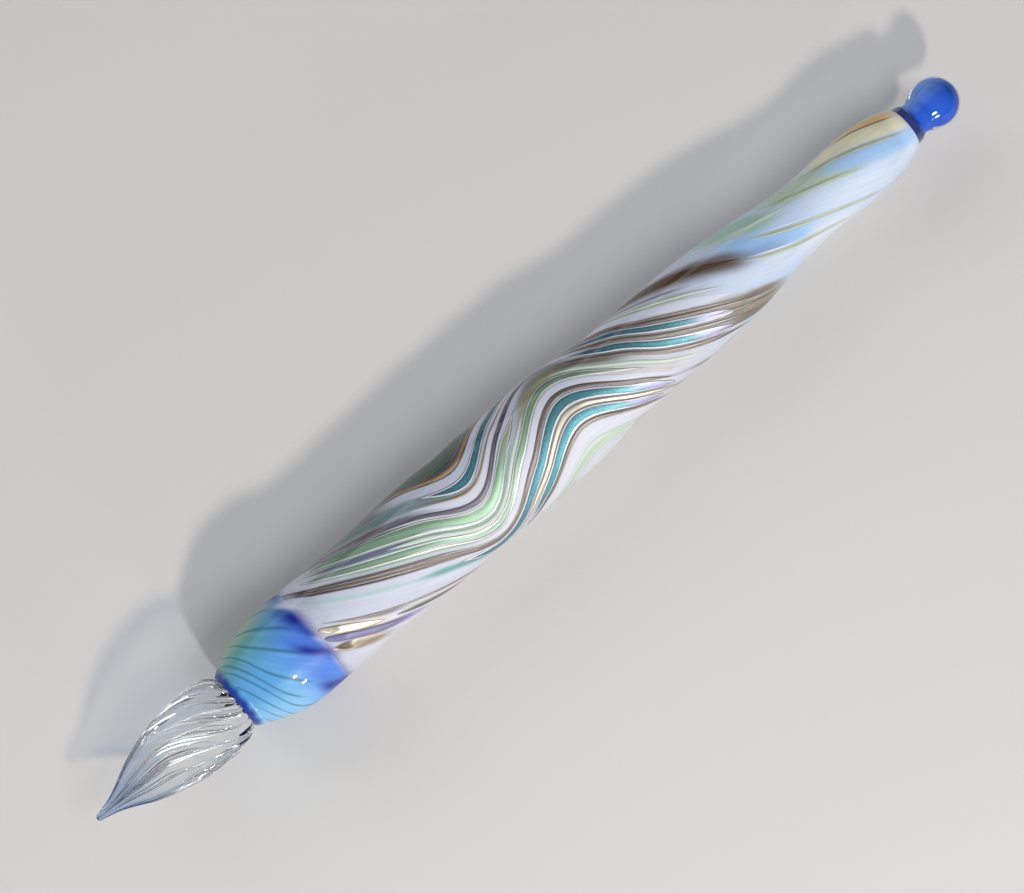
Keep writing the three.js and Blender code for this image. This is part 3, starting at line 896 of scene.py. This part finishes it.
def let_lamps_pass(skin):
    """Lets the lamps shine through a clear skin on what lies inside.

    Bent light would count them twice, so diffuse light doesn't meet the skin. The satin light
    isn't mirrored in it either, as the photo shows only small sharp glints on it.
    """
    skin.visible_shadow = False
    skin.visible_diffuse = False
    receivers = bpy.data.collections[NOT_IN_SATIN_LIGHT]
    receivers.objects.link(skin)
    for entry in receivers.collection_objects:
        entry.light_linking.link_state = "EXCLUDE"


class PEN_OT_skin(bpy.types.Operator):
    """Close the clear glass over the rods and canes of barrel and tail"""

    bl_idname = "pen.skin"
    bl_label = "Clear skin"

    def execute(self, context):
        # Both ends are let into the glass beside them, so that no edge shows inside the skin
        front_reach, front_depth = 0.5, 0.03
        rear_reach, rear_depth = 0.3, 0.06
        step = 0.02
        x = np.concatenate([
            [BARREL_START - front_reach, BARREL_START - step],
            np.linspace(BARREL_START, TAIL_END, 400),
            [TAIL_END + step, TAIL_END + rear_reach],
        ])
        radius = body_radius(np.clip(x, None, TAIL_END))
        radius = np.where(x < BARREL_START, radius - front_depth, radius)
        radius = np.where(x > TAIL_END, radius - rear_depth, radius)
        grid = turned_grid(x, radius, SKIN_COLUMNS)
        skin = glass_piece("clear_skin", [grid], clear_borosilicate_glass(), "clear_glass", "clear_casing")
        let_lamps_pass(skin)
        return {"FINISHED"}


# The canes' glasses: the slot that each fills, its body colour among the settings, and its look
# from the rim inwards, as depths in mm with a rim colour or a share of the body colour. "metal" is
# the depths between which it turns metallic and how far, "satin" the strength of its white sheen,
# "grain" how dark its streaks are, "rear" the colour that it runs to at its rear tip, and "wider"
# how much wider it looks than its node, in degrees.
CANE_GLASSES = {
    # Copper flakes in clear teal glass: dark until the light catches it, then it glitters
    "teal_aventurine_glass": dict(
        slot="teal_sparkle_glass", body="teal", metal=(0.3, 0.4, 0.65), satin=0.8, grain=0.25, rear="8A88BA",
        across=[
            (0.0, "443A3C"), (0.11, "443A3C"), (0.17, "DCDEE6"), (0.29, "DCDEE6"), (0.36, 0.35),
            (0.55, 0.75), (0.8, 1.0),
        ],
    ),
    # Silver smoke on pale green: a satin that turns nearly white in the light
    "silver_fumed_celadon_glass": dict(
        slot="celadon_glass", body="celadon", metal=(0.2, 0.32, 0.45), satin=1.2, grain=0.35, rear="7E7F4E",
        across=[
            (0.0, "4A4442"), (0.1, "4A4442"), (0.16, "D0D6D0"), (0.27, "D0D6D0"), (0.36, 0.5),
            (0.65, 0.8), (1.0, 1.0),
        ],
    ),
    # Silver smoke on dark green: nearly black, with a grey-green satin
    "silver_fumed_dark_green_glass": dict(
        slot="dark_green_glass", body="dark_green", metal=(0.1, 0.4, 0.3), satin=0.4, grain=0.35,
        across=[(0.0, "7C847C"), (0.15, "4E5E52"), (0.4, 0.8), (0.9, 1.0)],
    ),
    # Green-white opal: milky, without a hard edge
    "pale_green_opal_glass": dict(
        slot="pale_green_glass", body="pale_green", satin=0.2, grain=0.12,
        across=[(0.0, "D4DCD8"), (0.3, "C6D8C8"), (0.8, 1.0)],
    ),
    # Silver smoke on brown: a dark edge and a pale satin in the middle
    "silver_fumed_brown_glass": dict(
        slot="brown_glass", body="brown", metal=(0.08, 0.2, 0.45), satin=0.9, grain=0.25,
        across=[(0.0, 0.6), (0.12, 0.7), (0.25, 1.1), (0.4, 1.4), (0.8, 0.9)],
    ),
    # Dense dark brown, drawn out until its edges thin into the opal
    "umber_opal_glass": dict(
        slot="brown_glass", body="umber", satin=0.0, grain=0.1, wider=-10,
        across=[(0.0, 1.0), (1.2, 0.85)],
    ),
    # Honey-coloured glass over white, so its thin edges glow
    "amber_glass": dict(
        slot="amber_glass", body="amber", metal=(0.05, 0.15, 0.3), satin=0.6, grain=0.2,
        across=[(0.0, 0.6), (0.15, 0.95), (0.4, 1.1), (0.9, 0.8)],
    ),
    # Beige glass with smoke in it, its edges thin and pale
    "fumed_tan_glass": dict(
        slot="amber_glass", body="tan", metal=(0.2, 0.6, 0.3), satin=0.6, grain=0.5,
        across=[(0.0, "B5A894"), (0.3, 1.1), (0.8, 0.8)],
    ),
    # Dark grey-violet glass, glossy and dense
    "aubergine_glass": dict(
        slot="grey_glass", body="aubergine", satin=0.5, grain=0.1,
        across=[(0.0, 0.8), (0.15, 1.0), (0.4, 1.1)],
    ),
    # Silver smoke on white: bright and warm, with gold-brown veins in it
    "silver_fumed_white_glass": dict(
        slot="silver_fumed_glass", body="silver", metal=(0.02, 0.3, 0.4), satin=0.5, grain=0.5,
        across=[(0.0, "7C6850"), (0.12, "B4A184"), (0.26, 1.0), (0.5, 1.1), (0.8, "B8A582")],
    ),
    # Lavender opal: soft, with a darker rim
    "lavender_opal_glass": dict(
        slot="lavender_glass", body="lavender", satin=0.2, grain=0.15,
        across=[(0.0, "5C5470"), (0.15, 0.7), (0.3, 1.0), (0.5, 1.1)],
    ),
    # Dense white: it hides what lies under it
    "dense_white_opal_glass": dict(
        slot="dense_white_glass", body="dense_white", satin=0.1, grain=0.05,
        across=[(0.0, 0.9), (0.25, 1.0)],
    ),
    # Transparent olive threads: pale where they are thin
    "olive_glass": dict(
        slot="olive_glass", body="olive", satin=0.2, grain=0.15,
        across=[(0.0, "C6CFC4"), (0.12, "B0B79C"), (0.32, 1.0), (0.5, 0.9)],
    ),
}
# How much wider a cane looks than its node, in degrees, where its glass doesn't say
WIDER = 0.8
# The depth of a cane's edge that its ramp covers, in millimetres
RIM_REACH = 1.2
# Flakes are really about 0.05 mm wide, and are drawn wider so that they show
FLAKE_WIDTH = 0.16


def cane_glass(name, settings):
    """Coloured glass of a cane: bands round its edge, fine streaks along it, and a satin sheen.

    Silver fuming leaves a metallic skin under the clear glass, drawn out into silky fibres. So the
    sheen spreads across the cane and stays short along it: it lights up where the cane turns. And
    aventurine holds flakes, each tilted its own way.
    """
    facts = CANE_GLASSES[name]
    satin = {"Roughness": 0.45, "IOR": 2.3, "Specular_IOR_Level": 0.5 * facts["satin"], "Anisotropic": 0.75}
    material, tree, shader = new_material(name, **satin)
    rim = add_node(tree, "Attribute", output="Fac", attribute_name="rim")
    reach = add_node(tree, "Math", {0: rim, 1: 1 / RIM_REACH}, operation="MULTIPLY")
    body = np.array(getattr(settings, facts["body"]))
    stops = []
    for depth, look in facts["across"]:
        own = linear(look) if isinstance(look, str) else (*np.clip(body[:3] * look, 0, 1).tolist(), 1.0)
        stops.append((depth / RIM_REACH, own))
    colour = add_node(tree, "ValToRGB", {"Fac": reach}, stops)
    dark, bright = 1 - facts["grain"], 1 + 0.4 * facts["grain"]
    ends = {"From Min": 0.3, "From Max": 0.7, "To Min": dark, "To Max": bright}
    colour = shaded(tree, colour, streaks(tree, 20, 0.35), ends, **EASED)
    if "rear" in facts:
        left = add_node(tree, "Attribute", output="Fac", attribute_name="rear")
        ends = {"Value": left, "From Min": 2.0, "From Max": 6.5, "To Min": 1.0, "To Max": 0.0}
        past = add_node(tree, "MapRange", ends, **EASED)
        inside = add_node(tree, "MapRange", {"Value": rim, "From Min": 0.22, "From Max": 0.3})
        there = add_node(tree, "Math", {0: past, 1: inside}, operation="MULTIPLY")
        colour = add_node(tree, "Mix", {0: there, 6: colour, 7: linear(facts["rear"])}, **COLOURS)
    if "aventurine" in name:
        laid = add_node(tree, "Attribute", output="Vector", attribute_name="laid")
        flakes = add_node(tree, "TexVoronoi", {"Vector": laid, "Scale": 1 / FLAKE_WIDTH}, output="Color")
        # Painted glints: some flakes are painted pale cyan, on top of the bump that tilts each one
        glint = {"Value": flakes, "From Min": 0.55, "From Max": 0.95, "To Max": 0.12}
        painted_glint_share = add_node(tree, "MapRange", glint, **EASED)
        colour = add_node(tree, "Mix", {0: painted_glint_share, 6: colour, 7: linear("B8E6EC")}, **COLOURS)
        inputs = {"Strength": 0.4, "Distance": 0.05 * MM, "Height": flakes}
        set_inputs(shader, {"Normal": add_node(tree, "Bump", inputs)})
    if "metal" in facts:
        low, high, most = facts["metal"]
        if "rear" in facts:
            ends = {"Value": left, "From Min": 2.0, "From Max": 8.0, "To Max": most}
            most = add_node(tree, "MapRange", ends, **EASED)
        ends = {"Value": rim, "From Min": low, "From Max": high, "To Max": most}
        set_inputs(shader, {"Metallic": add_node(tree, "MapRange", ends, **EASED)})
    fibres = add_node(tree, "Tangent", direction_type="UV_MAP", uv_map="UVMap")
    set_inputs(shader, {"Base Color": colour, "Tangent": fibres})
    return material


# A cane's rows: their spacing in mm, how many more there are, how far they crowd at the tips, and
# how deep a cane stays under the outer surface
CANE_ROW = 0.45
TIP_ROWS = 16
TIP_CROWDING = 0.7
UNDER_SURFACE = 0.01
# A fine thread's tip: in millimetres, and at most as a share of its length
THREAD_TIP = 5.0
THREAD_TIP_SHARE = 0.4
# How high a fine thread stands, as a share of a cane's height
THREAD_HEIGHT = 0.5

# How a cane narrows at a tip: its half width goes with 1 - (1 - t) squared to this power
POINTED = 1.0
ROUND = 0.5

# The canes by glass: the forms of their front and rear tips, and for each node their lengths in mm
CANES = [
    ("teal_aventurine_glass", (POINTED, ROUND), {
        "teal_cane_1": (8, 3.5),
        "teal_cane_2": (6, 3.5),
        "teal_cane_3": (6, 4),
        "teal_cane_4": (8, 4),
        "teal_cane_5": (8, 4),
    }),
    ("silver_fumed_celadon_glass", (ROUND, POINTED), {
        "celadon_cane_1": (8, 10),
        "celadon_cane_2": (6, 12),
        "celadon_cane_3": (6, 10),
    }),
    ("silver_fumed_dark_green_glass", (ROUND, POINTED), {
        "dark_green_cane_1": (9, 9),
        "dark_green_cane_2": (5, 7),
    }),
    ("pale_green_opal_glass", (POINTED, POINTED), {"pale_green_cane": (10, 10)}),
    ("silver_fumed_brown_glass", (POINTED, POINTED), {
        "brown_thread_1": (5, 6),
        "brown_thread_2": (6, 10),
        "brown_thread_3": (5, 6),
        "brown_thread_4": (5, 6),
    }),
    ("umber_opal_glass", (ROUND, POINTED), {"brown_cane": (9, 20)}),
    ("amber_glass", (POINTED, POINTED), {"amber_thread": (7, 7)}),
    ("aubergine_glass", (POINTED, POINTED), {"grey_thread": (7, 7)}),
    ("silver_fumed_white_glass", (ROUND, POINTED), {"silver_cane_1": (3, 4.5)}),
    ("silver_fumed_white_glass", (POINTED, POINTED), {"silver_cane_2": (6, 6)}),
    ("lavender_opal_glass", (ROUND, POINTED), {"lavender_thread_1": (1.5, 7)}),
    ("lavender_opal_glass", (POINTED, POINTED), {"lavender_thread_2": (6, 7), "lavender_thread_3": (6, 6)}),
    ("fumed_tan_glass", (POINTED, POINTED), {"tan_cane": (3, 3.5)}),
    ("dense_white_opal_glass", (POINTED, POINTED), {f"white_cane_{n}": (9, 9) for n in range(1, 7)}),
    ("olive_glass", (POINTED, POINTED), {
        "tail_thread_1": (5, 8),
        "tail_thread_2": (5, 8),
        "tail_thread_3": (6, 7),
        "tail_thread_4": (6, 7),
    }),
    ("amber_glass", (POINTED, POINTED), {"tail_thread_5": (3.5, 3.5)}),
]

# How high the lowest canes stand, as a share of the others
LOW_SHARE = 0.4
LOW_GLASSES = ("dense_white_opal_glass", "pale_green_opal_glass", "umber_opal_glass", "olive_glass")

# Threads too fine for a CAD node, by glass: the places where each starts and ends, its middle in
# degrees before the twist at both, and its width in degrees
FINE_THREADS = {
    "dense_white_opal_glass": [
        (0.2, 0.64, 9.5, 12, 2.0),
        (0.1, 0.36, 39.3, 38.8, 1.4),
        (0.26, 0.54, 25, 27, 2.4),
        (0.22, 0.5, 47.5, 43.5, 2.6),
        (0.12, 0.4, 115.8, 114, 2.2),
        (0.14, 0.36, 127.2, 127, 1.8),
    ],
    "silver_fumed_white_glass": [
        (0.42, 0.88, 88.4, 88.4, 6.4),
        (0.16, 0.42, 118.6, 117, 3.0),
    ],
    "silver_fumed_brown_glass": [
        (-0.01, 0.4, 60.6, 60.2, 4.4),
        (0.66, 1.06, -7.2, -7.5, 5.0),
        (0.64, 1.06, 19, 18, 5.4),
        (0.02, 0.46, 112.5, 103.5, 2.4),
        (0.94, 1.22, -20, -22, 3.6),
        (0.94, 1.26, 6, 4, 3.8),
    ],
    "aubergine_glass": [
        (0.18, 0.56, -48.6, -48.6, 2.2),
        (0.02, 0.26, 13, 11.5, 1.6),
    ],
    "amber_glass": [
        (0.3, 0.6, -10.5, -3, 2.6),
        (0.68, 1.05, -36.2, -36.2, 2.2),
    ],
    "pale_green_opal_glass": [
        (0.2, 0.56, 34.5, 35, 5),
        (0.64, 0.92, 35.5, 34, 5),
        (0.78, 1.02, -59.5, -60, 3.4),
        (1.02, 1.46, -130, -176, 3.4),
    ],
}


def cane_grid(start, end, middles, width, rod_depth, height, front, rear, columns=CANE_COLUMNS):
    """A cane under the glass: a flat ellipse bent round the pen, carried along the twist.

    Round the ellipse by angle a, it lies at middle - width / 2 * cos(a) degrees and height * sin(a)
    above the rod. Both half axes grow from each tip, as its length and form say. "rim" is the
    distance from the cane's edge, and "rear" the distance from its rear tip.
    """
    rows = int((end - start) / CANE_ROW) + TIP_ROWS
    share = np.linspace(0, 1, rows)
    share = share - TIP_CROWDING * np.sin(2 * math.pi * share) / (2 * math.pi)
    x = (start + (end - start) * share)[:, None]
    tips = [((x - start) / front[0], front[1]), ((end - x) / rear[0], rear[1])]
    tapers = [(1 - (1 - np.clip(t, 0, 1)) ** 2) ** form for t, form in tips]
    taper = np.clip(np.minimum(*tapers), 0.002, 1)
    angle = np.linspace(0, 2 * math.pi, columns, endpoint=False)[None, :]
    middle = middles[0] + (middles[1] - middles[0]) * (x - start) / (end - start)
    laid = middle - width / 2 * taper * np.cos(angle)
    radius = rod_radius(x, rod_depth) + height * taper**0.5 * np.sin(angle)
    radius = np.minimum(radius, body_radius(x) - UNDER_SURFACE)
    half_width = np.radians(width / 2 * taper) * radius
    across = half_width * (1 - np.abs(np.cos(angle)))
    from_tip = 0.5 * np.minimum(x - start, end - x)
    return {
        "points": round_points(x, radius, laid + twist_at(x) + ROLL),
        "laid": laid_points(x, radius, laid),
        "rim": np.minimum(across, from_tip),
        "rear": np.broadcast_to(end - x, radius.shape).copy(),
    }


def laid_band(node):
    """The middle and width of a CAD cane before the twist, in degrees, measured on its vertices."""
    points = node_points(node)
    angle = np.degrees(np.arctan2(-points[:, 1], points[:, 2] - AXIS_HEIGHT))
    laid = angle - twist_at(points[:, 0]) - ROLL
    laid = laid[0] + turn_between(laid, laid[0])
    return (laid.min() + laid.max()) / 2, laid.max() - laid.min()


class PEN_OT_canes(bpy.types.Operator):
    """Lay the coloured canes on the rods, and the fine threads between them"""

    bl_idname = "pen.canes"
    bl_label = "Canes and threads"

    def execute(self, context):
        settings = context.scene.pen_canes
        height = settings.height / MM
        rod = context.scene.pen_rods.skin_depth / MM
        glasses = {name: cane_glass(name, settings) for name in CANE_GLASSES}
        for glass, forms, nodes in CANES:
            facts = CANE_GLASSES[glass]
            # Milky bands lie lowest, so that the others cross over them
            low = LOW_SHARE if glass in LOW_GLASSES else 1
            for node, lengths in nodes.items():
                middle, width = laid_band(node)
                size = (middle, middle), width + facts.get("wider", WIDER), rod, height * low
                grid = cane_grid(*node_span(node), *size, *zip(lengths, forms))
                glass_piece(node + "_glass", [grid], glasses[glass], facts["slot"], node)
        for glass, threads in FINE_THREADS.items():
            grids = []
            for start, end, from_middle, to_middle, width in threads:
                start, end = distance(start), distance(end)
                tip = min(THREAD_TIP, THREAD_TIP_SHARE * (end - start)), POINTED
                size = (from_middle, to_middle), width, rod - height, THREAD_HEIGHT * height
                grids.append(cane_grid(start, end, *size, tip, tip, THREAD_COLUMNS))
            name = glass.replace("_glass", "_fine_threads")
            glass_piece(name, grids, glasses[glass], CANE_GLASSES[glass]["slot"])
        return {"FINISHED"}


# The neck and the ball

# How far the neck sinks to its waist, the share of the ball's skin that the neck has, the rounding
# where they meet, and the radius left at the pole, in millimetres
WAIST = 0.3
NECK_SKIN = 0.6
JOIN_ROUNDING = 0.6
LEAST_RADIUS = 0.02


def blue_heart_glass(settings):
    """Translucent cobalt glass under a clear skin: it is painted paler towards its far side, a painted glow
    on the side in shade.
    """
    material, tree, shader = new_material("translucent_cobalt_glass", Specular_IOR_Level=0.0)
    stops = [(0.0, settings.painted_far_side_blue), (0.5, settings.blue), (1.0, settings.blue)]
    colour = add_node(tree, "ValToRGB", {"Fac": painted_light_side(tree)}, stops)
    set_inputs(shader, {"Base Color": clouded(tree, colour, 1.2, 0.8)})
    return material


class PEN_OT_end(bpy.types.Operator):
    """Add the indigo ring, and the neck and ball: blue glass inside a clear skin"""

    bl_idname = "pen.end"
    bl_label = "Ring, neck and ball"

    def execute(self, context):
        settings = context.scene.pen_end
        ring = outline("neck_ring")
        x = np.linspace(TAIL_END, NECK_RING_END, 8)
        material = fused_blue_glass("fused_indigo_glass", settings.ring)
        glass_piece("indigo_ring", [turned_grid(x, ring(x))], material, "indigo_glass", "neck_ring")
        ball_radius = (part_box("ball_finial")[1].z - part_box("ball_finial")[0].z) / 2 / MM
        heart, skin = [end_grid(ball_radius, settings.skin / MM)], [end_grid(ball_radius, 0)]
        glass_piece("blue_heart", heart, blue_heart_glass(settings), "ball_blue_glass", "ball_finial")
        material = clear_borosilicate_glass()
        let_lamps_pass(glass_piece("end_skin", skin, material, "clear_blue_glass", "neck"))
        return {"FINISHED"}


def end_grid(ball_radius, depth):
    """Neck and ball as one body of revolution, this deep under their outside.

    The ball is a sphere, the neck sinks to a waist in a half sine, and where they meet the larger
    radius wins, rounded by half the root of their difference squared plus a little.
    """
    centre = PEN_END - ball_radius
    ball = ball_radius - depth
    neck = outline("neck")
    # The ball's own rows start this angle before its widest place
    before = 0.2
    round_end = centre + ball * np.sin(np.linspace(-before, math.pi / 2, 48))
    x = np.concatenate([np.linspace(NECK_RING_END, round_end[0], 40)[:-1], round_end])
    sphere = np.sqrt(np.clip(ball**2 - (x - centre) ** 2, 0, None))
    share = np.clip((x - NECK_RING_END) / (NECK_END - NECK_RING_END), 0, 1)
    stem = neck(np.clip(x, None, NECK_END)) - WAIST * np.sin(math.pi * share) - NECK_SKIN * depth
    stem = stem * np.clip((centre - x) / (centre - NECK_END), 0, 1) ** 0.5
    rounding = JOIN_ROUNDING * smooth_step((centre - x) / (centre - NECK_END)) * smooth_step(2 * share)
    radius = (sphere + stem + np.sqrt((sphere - stem) ** 2 + rounding**2)) / 2
    return turned_grid(x, np.maximum(radius, LEAST_RADIUS))


# The stage

# The room's light at the horizon, as a share of that from straight above
HORIZON_SHARE = 0.15
# How far the view's middle lies from the pen's, to the right and up, in metres
VIEW_SHIFT = (-0.00281, -0.00008)


def view_axes(azimuth, elevation):
    """The camera's right, up and back directions for angles in radians."""
    level = math.cos(elevation)
    back = np.array([math.sin(azimuth) * level, -math.cos(azimuth) * level, math.sin(elevation)])
    right = np.array([math.cos(azimuth), math.sin(azimuth), 0.0])
    return right, np.cross(back, right), back


def place(thing, at, right, up, back):
    """Puts a camera or lamp at a place, so that it looks against back."""
    matrix = np.eye(4)
    matrix[:3, :] = np.stack([right, up, back, at], axis=1)
    thing.matrix_world = matrix.T.tolist()
    bpy.context.scene.collection.objects.link(thing)


def add_lamp(name, direction, far, size, power, colour, length=None, **seen):
    """A lamp that faces the pen from a direction, in metres: a disc, or a level strip if long.

    "seen" holds the object's settings for what the lamp shows in.
    """
    lamp = bpy.data.lights.new(name, "AREA")
    lamp.shape = "RECTANGLE" if length else "DISK"
    lamp.size = length or size
    if length:
        lamp.size_y = size
    lamp.energy = power
    lamp.color = linear(colour)[:3]
    back = np.array(direction) / np.linalg.norm(direction)
    right = np.cross([0, 0, 1], back)
    right = right / np.linalg.norm(right)
    lamp_object = bpy.data.objects.new(name, lamp)
    place(lamp_object, back * far, right, np.cross(back, right), back)
    for name, value in seen.items():
        setattr(lamp_object, name, value)
    return lamp_object


class PEN_OT_stage(bpy.types.Operator):
    """Set the plain floor, the lamps and the camera"""

    bl_idname = "pen.stage"
    bl_label = "Stage"

    def execute(self, context):
        settings = context.scene.pen_stage
        bpy.ops.mesh.primitive_plane_add(size=3)
        floor = context.object
        floor.name = "floor"
        # Without a sheen, the floor doesn't glare in a low view against the lamps
        material, _, _ = new_material("pale_matt_floor", Base_Color=settings.floor, Specular_IOR_Level=0.0)
        floor.data.materials.append(material)
        # Small lamps, for sharp glints
        key = settings.key_power
        add_lamp("key", (-0.28, -0.76, 0.58), far=0.6, size=0.05, power=key, colour="FFF8F0")
        add_lamp("low_glint", (-0.2, -0.95, 0.24), far=0.6, size=0.05, power=0.25 * key, colour="FFF8F0")
        add_lamp("side_glint", (-0.85, 0.1, 0.5), far=0.6, size=0.03, power=0.05 * key, colour="FFFFFF")
        # These two are only mirrored: in the canes' satin, and as a soft line along the clear skin
        satin = {"power": settings.satin_power, "colour": "FFFDF8", "visible_diffuse": False}
        strip = {"power": settings.strip_power, "colour": "F6F8FF", "visible_diffuse": False}
        lamp = add_lamp("satin_light", (0.263, -0.796, 0.545), far=0.6, size=0.14, **satin)
        lamp.light_linking.receiver_collection = bpy.data.collections.new(NOT_IN_SATIN_LIGHT)
        add_lamp("strip", (0, 0.93, 0.36), far=0.8, size=0.16, length=1.0, **strip)
        # And these two are wide and soft, and aren't mirrored at all
        soft = {"power": settings.soft_power, "colour": "F6F8FF", "visible_glossy": False}
        fill = {"power": settings.fill_power, "colour": "F6F8FF", "visible_glossy": False}
        add_lamp("soft_box", (0.14, -0.51, 0.85), far=0.7, size=0.32, **soft)
        add_lamp("fill", (-0.2, 0.8, 0.56), far=0.9, size=0.6, **fill)
        world = bpy.data.worlds.new("studio")
        world.use_nodes = True
        tree = world.node_tree
        # The room is darker towards the horizon, so that the glass keeps its dark edges
        direction = add_node(tree, "TexCoord", output="Generated")
        up = add_node(tree, "SeparateXYZ", {"Vector": direction}, output="Z")
        ends = {"Value": up, "To Min": HORIZON_SHARE * settings.room_light, "To Max": settings.room_light}
        strength = add_node(tree, "MapRange", ends)
        set_inputs(tree.nodes["Background"], {"Color": linear("D4D8E0"), "Strength": strength})
        context.scene.world = world
        camera = bpy.data.cameras.new("camera")
        camera.lens, camera.sensor_width = 150, 36
        right, up, back = view_axes(settings.azimuth, settings.elevation)
        target = np.array([0, 0, AXIS_HEIGHT * MM]) + VIEW_SHIFT[0] * right + VIEW_SHIFT[1] * up
        far = camera.lens * settings.view_width / camera.sensor_width
        camera_object = bpy.data.objects.new("camera", camera)
        place(camera_object, target + far * back, right, up, back)
        context.scene.camera = camera_object
        context.scene.view_settings.view_transform = "Standard"
        return {"FINISHED"}


class PEN_PT_panel(bpy.types.Panel):
    """Lists the pen's pieces and their settings"""

    bl_idname = "PEN_PT_panel"
    bl_label = "Glass pen"
    bl_space_type = "VIEW_3D"
    bl_region_type = "UI"
    bl_category = "Glass pen"

    def draw(self, context):
        for operator, group in STEPS:
            box = self.layout.box()
            box.operator(operator.bl_idname)
            if group:
                settings = getattr(context.scene, group)
                for name in settings.__annotations__:
                    box.prop(settings, name)


SETTINGS = {
    "pen_nib": NibSettings,
    "pen_front": FrontSettings,
    "pen_rods": RodSettings,
    "pen_canes": CaneSettings,
    "pen_end": EndSettings,
    "pen_stage": StageSettings,
}

# The operators in the order in which they run, with the settings that each one shows
STEPS = [
    (PEN_OT_stage, "pen_stage"),
    (PEN_OT_nib, "pen_nib"),
    (PEN_OT_front, "pen_front"),
    (PEN_OT_rods, "pen_rods"),
    (PEN_OT_canes, "pen_canes"),
    (PEN_OT_skin, None),
    (PEN_OT_end, "pen_end"),
]


def register():
    """Adds the settings, the operators and the panel to Blender."""
    for group, settings in SETTINGS.items():
        bpy.utils.register_class(settings)
        setattr(bpy.types.Scene, group, bpy.props.PointerProperty(type=settings))
    for operator, _ in STEPS:
        bpy.utils.register_class(operator)
    bpy.utils.register_class(PEN_PT_panel)


def unregister():
    """Takes them out again, in the other order."""
    bpy.utils.unregister_class(PEN_PT_panel)
    for operator, _ in reversed(STEPS):
        bpy.utils.unregister_class(operator)
    for group, settings in SETTINGS.items():
        delattr(bpy.types.Scene, group)
        bpy.utils.unregister_class(settings)


def main():
    """Builds the pen."""
    register()
    bpy.ops.pen.stage()
    bpy.ops.pen.nib()
    bpy.ops.pen.front()
    bpy.ops.pen.rods()
    bpy.ops.pen.canes()
    bpy.ops.pen.skin()
    bpy.ops.pen.end()


if __name__ == "__main__":
    main()
